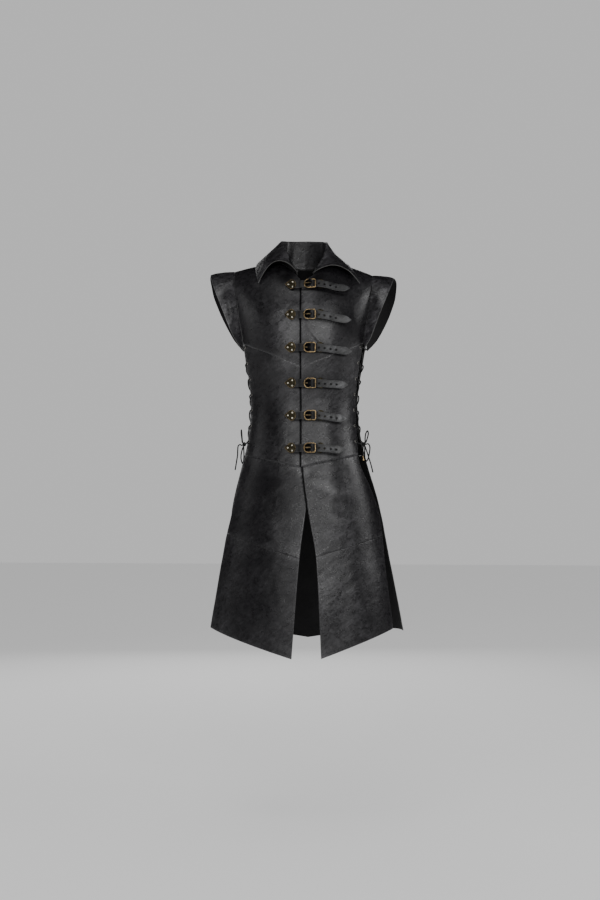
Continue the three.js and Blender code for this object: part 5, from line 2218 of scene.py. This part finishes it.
    def upright(self, outline: Sequence[tuple[float, float]], width: float, bevel: float) -> BMesh:
        """A side view in X and height, made as wide as the strap needs.

        Args:
            outline: X and height.
            width: across the strap.
            bevel: width of the rounded edges.

        Returns:
            The shape, with Y across the strap and Z its height.
        """
        bm = self.maker.slab(outline, -width / 2, width / 2, bevel)
        bmesh.ops.rotate(bm, verts=bm.verts, cent=(0, 0, 0), matrix=Matrix.Rotation(math.pi / 2, 3, "X"))
        return bm

    def tongue(self, number: int, level: float) -> None:
        """Make one buckle tongue, looped round the bar and resting on the bow.

        Args:
            number: of the strap.
            level: the strap's height on the jerkin.
        """
        below = ((19.5, 6.5), (16.5, 6.5), (14, 6.4), (11.5, 6.3), (9, 6.2), (7, 6.0), (5.6, 5.7))
        above = ((5.1, 6.1), (5.2, 6.8), (6.6, 7.6), (8.5, 8.2), (11.5, 8.6), (14, 8.7), (18, 8.4))
        outline = self.arc(self.bar[3], 100, -180, 16) + [(x, self.face + h) for x, h in below + above]
        bm = self.upright(outline, 3, 0.55)
        for vert in bm.verts:
            vert.co.y *= mix(0.62, 1.0, float(ease((vert.co.x - 5) / 14)))
        name = f"tongue_{number}"
        self.maker.piece(name, self.warp(bm, level), [self.maker.finishes.dim], "brass", [name], wear=0.7)

    def chape(self, number: int, level: float) -> None:
        """Make the short leather tab that is folded round the bar and riveted to the left front.

        Args:
            number: of the strap.
            level: the strap's height on the jerkin.
        """
        low, name = self.face + self.gap, f"chape_{number}"
        along = np.linspace(*self.chape_run, 15)
        outline = [(x, low + self.chape_wall) for x in along]
        outline += self.arc(self.bar[3], -10, 262, 16)
        outline += [(x, low) for x in along[::-1]]
        bm = self.warp(self.upright(outline, self.chape_width, 0.35), level)
        made = self.maker.piece(name, bm, [self.maker.finishes.strap], "strap_leather", [name], smooth=False)
        cutter = self.maker.block(self.chape_slot, (self.bar[0] - 0.1, 0, 12))
        self.maker.carve(made, self.warp(cutter, level))

    def plate(self, name: str, node: str, level: float, x: float, base: float, point: int) -> None:
        """Make one cast plate with its three domed rivets.

        Args:
            name: of the piece.
            node: the CAD node that it stands for.
            level: the strap's height on the jerkin.
            x: of its middle.
            base: height of its underside.
            point: -1 or 1, the side that its pointed lobe faces.
        """
        finishes = self.maker.finishes
        outline = [*self.plate_half, *((a, -b) for a, b in reversed(self.plate_half[1:]))]
        bm = self.maker.slab([(x + point * a, b) for a, b in outline], base, base + self.plate_wall, 0.3)
        top = max(bm.faces, key=lambda face: face.calc_center_median().z)
        rim = bmesh.ops.inset_region(bm, faces=[top], thickness=0.7, depth=-0.22)
        top.material_index = 1
        for face in rim["faces"]:
            face.material_index = 0
        parts, (radius, high) = [bm], self.rivet
        profile = [(radius * math.cos(t), high * math.sin(t)) for t in np.linspace(0, math.pi / 2, 7)]
        profile = [(0.0, -0.4), (radius, -0.4), *profile[:-1], (0.0, high)]
        for cx, cy in self.rivets:
            dome = self.maker.disc(profile, 18)
            bmesh.ops.translate(dome, verts=dome.verts, vec=(x + point * cx, cy, base + 0.95))
            for face in dome.faces:
                face.material_index = 2
            parts.append(dome)
        whole = self.warp(self.maker.merge(*parts), level)
        # The chape's plate lies mostly under the strap, so its rim and rivets take the dark plate finish too:
        # painted shade of the strap above it.
        shown = [finishes.dim, finishes.plate, finishes.rivet] if point < 0 else [finishes.plate] * 3
        made = self.maker.piece(name, whole, shown, "brass", [node], wear=0.55)
        for face in made.data.polygons:
            face.use_smooth = len(face.vertices) < 20

    def build(self) -> None:
        """Make the six straps and all that is on them."""
        root_base = self.rest + self.wall + self.gap + 0.35
        chape_base = self.face + self.gap + self.chape_wall
        for number, row in enumerate(self.rows, 1):
            self.strap(number, row)
            name = f"root_plate_{number}"
            self.plate(name, name, row.level, self.plates[0], root_base, -1)
            self.chape(number, row.level)
            self.plate(f"chape_plate_{number}", f"chape_{number}", row.level, self.plates[1], chape_base, 1)
            self.buckle_frame(number, row.level)
            self.tongue(number, row.level)


# ------------------------------------------------------------------ side laces
def smooth_line(points: Sequence[Sequence[float]], steps: int) -> Array:
    """A smooth line through points, closely followed.

    Args:
        points: in order.
        steps: between each two of them.

    Returns:
        The line's points.
    """
    p = np.asarray(points, float)
    p = np.vstack((2 * p[0] - p[1], p, 2 * p[-1] - p[-2]))
    line = []
    for a, b, c, d in zip(p, p[1:], p[2:], p[3:]):
        k1, k2, k3 = (max(np.linalg.norm(step) ** 0.5, 1e-6) for step in (b - a, c - b, d - c))
        start = k2 * ((b - a) / k1 - (c - a) / (k1 + k2) + (c - b) / k2)
        end = k2 * ((c - b) / k2 - (d - b) / (k2 + k3) + (d - c) / k3)
        line += [hermite(b, c, start, end, t) for t in np.arange(steps) / steps]
    return np.vstack((line, p[-2:-1]))


class Ends(Enum):
    """How a cord's far end is finished."""

    LOOP = "object"
    BARE = "bare"
    AGLET = "fitting"


@dataclass(frozen=True)
class FreeCord:
    """One loop or tail of a bow; its X grows outwards on either side.

    Attributes:
        name: of the piece and of the node it stands for.
        side: of the wearer.
        ends: how its far end is finished.
        route: its points, from the knot on.
    """

    name: str
    side: Side
    ends: Ends
    route: tuple[Place, ...]


@dataclass
class Lacing:
    """The laces down both sides, their eyelets, knots, bows and the one brass tag.

    Attributes:
        maker: makes the pieces.
        body: gives the side edges.
        rows: of eyelets.
        top: height of the first row.
        pitch: from row to row.
        inset: angle of the eyelets from the edge, in degrees.
        cord: diameter of the cord.
        rise: how far one strand passes above the other.
        lead: share of the way to the next row at which a strand leaves the edge.
        near: share of the way at which it leaves the eyelet.
        through: heights above the form that a strand takes through an eyelet, from the inside.
        eyelet: radius of a ring, of its hole, and how far it stands proud.
        hole: radius of the hole in the leather.
        wall: thickness of the leather.
        knots: middle of each knot; X grows outwards.
        knot_size: half sizes of a knot.
        turns: axis, shift and size of each turn of cord in a knot.
        from_knot: share of the way from a knot's middle at which a cord starts.
        aglet_from: where the brass tag starts.
        aglet_to: where it ends.
        aglet_radius: its radius.
        bows: the loops and tails.
    """

    maker: Maker
    body: Body
    rows: int = 7
    top: float = -238
    pitch: float = 43.2
    inset: float = 4.4
    cord: float = 3.6
    rise: float = 2.3
    lead: float = 0.12
    near: float = 0.04
    through: Place = (-1.6, 1.2, 3.6)
    eyelet: tuple[float, float, float] = (4.6, 2.3, 0.7)
    hole: float = 2.5
    wall: float = 2.2
    knots: dict[Side, Place] = field(default_factory=lambda: {
        Side.RIGHT: (166, -20, -505), Side.LEFT: (167, -20, -505)})
    knot_size: Place = (5.5, 6.5, 6)
    turns: tuple[tuple[Place, float, float], ...] = (
        ((1, 0.25, 0.1), 1.9, 0.92), ((1, -0.2, 0.25), -1.9, 0.92), ((0.35, 1, 0.2), 0.6, 1.0),
        ((0.1, 0.25, 1), -0.4, 0.96))
    from_knot: float = 0.62
    aglet_from: Place = (165.1, -30.2, -537.5)
    aglet_to: Place = (167.5, -31, -551)
    aglet_radius: float = 2.1
    bows: tuple[FreeCord, ...] = (
        FreeCord("loop_up_right", Side.RIGHT, Ends.LOOP, (
            (170, -24, -500), (171, -31, -486), (172, -31, -472), (174, -22, -465), (175.5, -12, -472),
            (174, -11, -487), (171.5, -17, -500))),
        FreeCord("loop_down_right", Side.RIGHT, Ends.LOOP, (
            (168, -25, -511.5), (172, -31, -525), (174, -32, -540), (173, -28, -552), (171, -20, -558),
            (169, -12, -552), (168, -9, -538), (168, -11, -524), (168, -16, -511.5))),
        FreeCord("tail_right", Side.RIGHT, Ends.BARE, (
            (173, -20.5, -508), (178, -20.5, -506), (182.5, -21, -509), (184, -22, -521),
            (184.5, -23, -535), (187, -24, -552), (191, -25, -577))),
        FreeCord("loop_up_left", Side.LEFT, Ends.LOOP, (
            (171, -24, -500), (171.5, -31, -487), (173.5, -31, -475), (178, -22, -468), (180, -12, -476),
            (177, -11, -489), (173, -17, -500))),
        FreeCord("loop_down_left", Side.LEFT, Ends.LOOP, (
            (173.5, -22, -505), (180, -25, -504), (184.5, -30, -512), (183.5, -33, -528), (180, -31, -544),
            (175, -22, -552), (171, -13, -544), (170, -10, -528), (170, -15, -511.5))),
        FreeCord("tail_long_left", Side.LEFT, Ends.BARE, (
            (171, -25, -510.5), (174, -29, -519), (178, -38, -530), (183, -41, -546), (188, -40, -562),
            (193, -39, -583))),
        FreeCord("tail_short_left", Side.LEFT, Ends.AGLET, (
            (166, -24, -511.5), (165.5, -27, -520), (165, -29, -529), (165, -30, -537),
            (165.9, -30.4, -542), (167.2, -30.9, -549.5))))

    @property
    def above(self) -> float:
        """Height of a strand's middle over the leather."""
        return self.wall + self.cord / 2 + 0.35

    @property
    def below(self) -> float:
        """Height of a strand's middle under the leather."""
        return -self.cord / 2 - 0.4

    def height(self, row: int) -> float:
        """Height of a row of eyelets."""
        return self.top - self.pitch * row

    def knot_at(self, side: Side) -> Array:
        """Middle of a knot."""
        return np.array(self.knots[side]) * np.array((side.value, 1, 1))

    def spot(self, face: Face, side: Side, z: float, above: float, inset: float | None = None) -> Array:
        """A point over a side edge or over its eyelets, on the wearer's left or right.

        Args:
            face: the panel's half of the form.
            side: of the wearer.
            z: height.
            above: distance above the form.
            inset: degrees from the edge; that of the eyelets if None.

        Returns:
            The point.
        """
        at = np.array([z], float)
        back = math.radians(self.inset if inset is None else inset)
        angle = side.value * (self.body.edge_angle(face, side, at) - back)
        return (FORM.point(angle, at, face) + FORM.normal(angle, at, face) * above)[0]

    def eyelet_places(self, face: Face, side: Side) -> list[tuple[Array, Array]]:
        """Find the eyelets of one edge, on the leather.

        Args:
            face: the panel's half of the form.
            side: of the wearer.

        Returns:
            Place and normal of each.
        """
        places = []
        for row in range(self.rows):
            point = self.spot(face, side, self.height(row), self.wall)
            normal = self.spot(face, side, self.height(row), self.wall + 1) - point
            rise = float(relief(point[:1], point[2:3], face)[0])
            places.append((point + normal * rise, normal))
        return places

    def hole_cutters(self, places: Sequence[tuple[Array, Array]]) -> list[BMesh]:
        """Short rods that cut the eyelets' holes.

        Args:
            places: place and normal of each.

        Returns:
            The rods.
        """
        rods = []
        for place, normal in places:
            rod = self.maker.rod(self.hole, 12, 14)
            bmesh.ops.transform(rod, verts=rod.verts, matrix=frame_at(place, normal, (0, 0, 1)))
            rods.append(rod)
        return rods

    def rings(self) -> None:
        """Make the metal rings round the eyelets."""
        outer, inner, proud = self.eyelet
        middle, half = (outer + inner) / 2, (outer - inner) / 2
        profile = [(middle + half * math.cos(t), (proud + 0.25) * math.sin(t))
                   for t in np.linspace(0, TURN, 11)[:-1]]
        for side in Side:
            places = [place for face in Face for place in self.eyelet_places(face, side)]
            frames = [frame_at(place, normal, (0, 0, 1)) for place, normal in places]
            bm = self.maker.scatter(self.maker.disc(profile), frames)
            self.maker.piece(f"eyelets_{side.word}", bm, [self.maker.finishes.eyelet], "brass", wear=0.6)

    def crossing(self, side: Side, face: Face, z: float, next_z: float, lifted: float, over: bool
                 ) -> list[Array]:
        """One strand from an eyelet to just before the next: over its own edge and under the other.

        Args:
            side: of the wearer.
            face: where it starts.
            z: height of its eyelet.
            next_z: height of the next.
            lifted: how far outwards its middle lies.
            over: it passes over its own edge; otherwise under it.

        Returns:
            The points.
        """
        other, start, below = face.other, self.above if over else self.below, self.below
        leave = self.spot(face, side, mix(z, next_z, self.lead), start, 0)
        reach = self.spot(other, side, mix(next_z, z, self.lead), below, 0)
        middle = mix(leave, reach, 0.5) + np.array((side.value * (lifted + (1.5 if over else 0.5)), 0, 0))
        first = self.spot(face, side, mix(z, next_z, self.near), start, self.inset * 0.5)
        last = self.spot(other, side, mix(next_z, z, self.near), below - 0.8, self.inset * 0.5)
        through = [self.spot(other, side, next_z, height) for height in self.through]
        return [first, leave, middle, reach, last, *through]

    def strand(self, side: Side, face: Face, lifted: float) -> list[Array]:
        """One half of a lace, from its top eyelet down to the knot.

        Args:
            side: of the wearer.
            face: where it starts.
            lifted: how far outwards its crossings lie.

        Returns:
            The points.
        """
        points = [self.spot(face, side, self.top, height) for height in reversed(self.through)]
        for row in range(self.rows - 1):
            points += self.crossing(side, face, self.height(row), self.height(row + 1), lifted, row > 0)
            face = face.other
        low = self.height(self.rows - 1)
        leave = self.spot(face, side, mix(low, low - self.pitch, self.lead), self.above, 0)
        return [*points, leave, mix(self.knot_at(side), leave, 0.3)]

    def lace(self, side: Side) -> None:
        """Make the lace of one side, from the knot up one way and down the other.

        Args:
            side: of the wearer.
        """
        front, back = (self.spot(face, side, self.top, self.above, 0) for face in Face)
        over = mix(front, back, 0.5) + np.array((side.value * 1.2, 0, 0))
        up, down = self.strand(side, Face.FRONT, self.rise)[::-1], self.strand(side, Face.BACK, -self.rise)
        bm = self.maker.tube(smooth_line([*up, front, over, back, *down], 5), self.cord / 2, 12)
        name = f"lace_{side.word}"
        self.maker.piece(name, bm, [self.maker.finishes.cord], "cord", [name])

    def knot(self, side: Side) -> None:
        """Make one knot: turns of cord drawn tight round each other.

        Args:
            side: of the wearer.
        """
        centre, radius, parts = self.knot_at(side), self.cord / 2, []
        for axis, shift, size in self.turns:
            n = Vector(axis).normalized()
            u = n.orthogonal().normalized()
            v = n.cross(u)
            ring = []
            for t in np.linspace(0, TURN, 33)[:-1]:
                way = u * math.cos(t) + v * math.sin(t)
                spread = 1 / math.sqrt(sum((w / (s - radius)) ** 2 for w, s in zip(way, self.knot_size)))
                ring.append(np.array(way * spread * size + n * shift * 0.9))
            parts.append(self.maker.tube(centre + np.array(ring), radius, 10, closed=True, up=axis))
        core = bmesh.new()
        bmesh.ops.create_uvsphere(core, u_segments=16, v_segments=10, radius=1)
        bmesh.ops.scale(core, verts=core.verts, vec=tuple(s * 0.72 * MM for s in self.knot_size))
        bmesh.ops.translate(core, verts=core.verts, vec=tuple(centre * MM))
        name = f"knot_{side.word}"
        self.maker.piece(name, self.maker.merge(*parts, core), [self.maker.finishes.cord], "cord", [name])

    def aglet(self) -> bpy.types.Object:
        """Make the brass tag on the left short end.

        Returns:
            The new object.
        """
        start, end = np.array(self.aglet_from), np.array(self.aglet_to)
        length = float(np.linalg.norm(end - start))
        r = self.aglet_radius
        profile = [(0, 0), (r * 0.86, 0), (r * 0.98, 0.35), (r * 0.98, 1.3), (r * 0.86, 1.7), (r * 0.86, 2.6),
                   (r * 0.96, 3.0), (r, length - 2.2), (r * 0.92, length - 1.2), (r * 0.66, length - 0.3),
                   (0, length)]
        bm = self.maker.disc(profile)
        bmesh.ops.transform(bm, verts=bm.verts, matrix=frame_at(start, end - start, (1, 0, 0)))
        name = "aglet_left"
        return self.maker.piece(name, bm, [self.maker.finishes.brass], "brass", [name], wear=0.6)

    def bow(self, cord: FreeCord, tag: bpy.types.Object) -> None:
        """Args:
            cord: what to make.
            tag: the brass tag; not used.
        """
        knot, mirror = self.knot_at(cord.side), np.array((cord.side.value, 1, 1))
        route = [np.array(place) * mirror for place in cord.route]
        route.insert(0, mix(knot, route[0], self.from_knot))
        if cord.ends is Ends.LOOP:
            route.append(mix(knot, route[-1], self.from_knot))
        line = smooth_line(route, 8)
        bm = self.maker.tube(line, self.cord / 2, 12)
        made = self.maker.piece(cord.name, bm, [self.maker.finishes.cord], "cord", [cord.name])
        length = float(np.linalg.norm(np.diff(line, axis=0), axis=-1).sum()) * MM
        LOG.info("cord %s: %.0f mm", cord.name, length / MM)

    def build_cords(self) -> None:
        """Make the free cords, the laces and the knots."""
        tag = self.aglet()
        for cord in self.bows:
            self.bow(cord, tag)
        for side in Side:
            self.lace(side)
            self.knot(side)


# ------------------------------------------------------------------ stitching
Rows = tuple[tuple[Edge, float], ...]


@dataclass
class Stitching:
    """The visible rows of thread: the edges of a sheet that have one, and how far in it runs.

    Attributes:
        maker: makes the pieces.
        pitch: from stitch to stitch.
        length: of a stitch.
        thick: of the thread.
        lap: how far in the left front's edge is stitched.
        pairs: rows of the sheets that both sides have.
        singles: rows of the other sheets.
    """

    maker: Maker
    pitch: float = 4.2
    length: float = 3.0
    thick: float = 0.75
    lap: float = 5.0
    pairs: dict[str, Rows] = field(default_factory=lambda: {
        "front_chest": ((Edge.FOOT, 3.2),),
        "front_waist": ((Edge.TOP, 3.2), (Edge.FOOT, 3.2), (Edge.FAR, 21.0)),
        "front_skirt_upper": ((Edge.TOP, 3.2), (Edge.FOOT, 3.2), (Edge.NEAR, 6.0), (Edge.FAR, 6.0)),
        "front_skirt_lower": ((Edge.TOP, 3.2), (Edge.FOOT, 9.0), (Edge.NEAR, 6.0), (Edge.FAR, 6.0)),
        "wing": ((Edge.FOOT, 5.0),)})
    singles: dict[str, Rows] = field(default_factory=lambda: {
        "back_bodice": ((Edge.FOOT, 3.2),),
        "back_skirt": ((Edge.TOP, 3.2), (Edge.FOOT, 9.0), (Edge.NEAR, 6.0), (Edge.FAR, 6.0)),
        "collar": ((Edge.TOP, 6.0),)})

    def rows(self) -> dict[str, Rows]:
        """The rows of every sheet, by its name."""
        found = {f"{name}_{side.word}": rows for side in Side for name, rows in self.pairs.items()}
        for name in ("front_chest_left", "front_waist_left"):
            found[name] += ((Edge.NEAR, self.lap),)
        return found | self.singles

    def row(self, places: Sequence[tuple[Array, Array, Array]]) -> BMesh:
        """One row of stitches.

        Args:
            places: point, normal and direction of each.

        Returns:
            The stitches.
        """
        seed = bmesh.new()
        bmesh.ops.create_uvsphere(seed, u_segments=6, v_segments=4, radius=0.5)
        turn = Matrix.Rotation(math.pi / 2, 4, "Y")
        size = Matrix.Diagonal((self.length, self.thick, self.thick * 0.9, 1))
        bmesh.ops.transform(seed, verts=seed.verts, matrix=size @ turn)
        frames = [frame_at(place + normal * 0.12, normal, heading) for place, normal, heading in places]
        return self.maker.scatter(seed, frames)

    def build(self, surfaces: dict[str, Surface]) -> None:
        """Make the rows of each sheet as one piece.

        Args:
            surfaces: the outsides of the sheets, by name.
        """
        for name, rows in self.rows().items():
            parts = [self.row(surfaces[name].line(edge, inset, self.pitch)) for edge, inset in rows]
            whole = self.maker.merge(*parts)
            self.maker.piece(f"stitching_{name}", whole, [self.maker.finishes.thread], "cord")


def main() -> None:
    """Build the jerkin, piece by piece."""
    logging.basicConfig(level=logging.INFO, format="%(message)s")
    Studio().build()
    maker = Maker(Finishes())
    body = Body(maker)
    lacing = Lacing(maker, body)
    lacing.build_cords()
    body.build(lacing)
    lacing.rings()
    wings = Wings(maker, body)
    wings.build()
    collar = Collar(maker, body)
    collar.build()
    Straps(maker).build()
    Stitching(maker).build({**body.surfaces, **wings.surfaces, "collar": collar.made})
    for made in bpy.data.objects:
        if made.type == "MESH" and not made.hide_render:
            LOG.info("piece %s: %d faces", made.name, len(made.data.polygons))


if __name__ == "__main__":
    main()
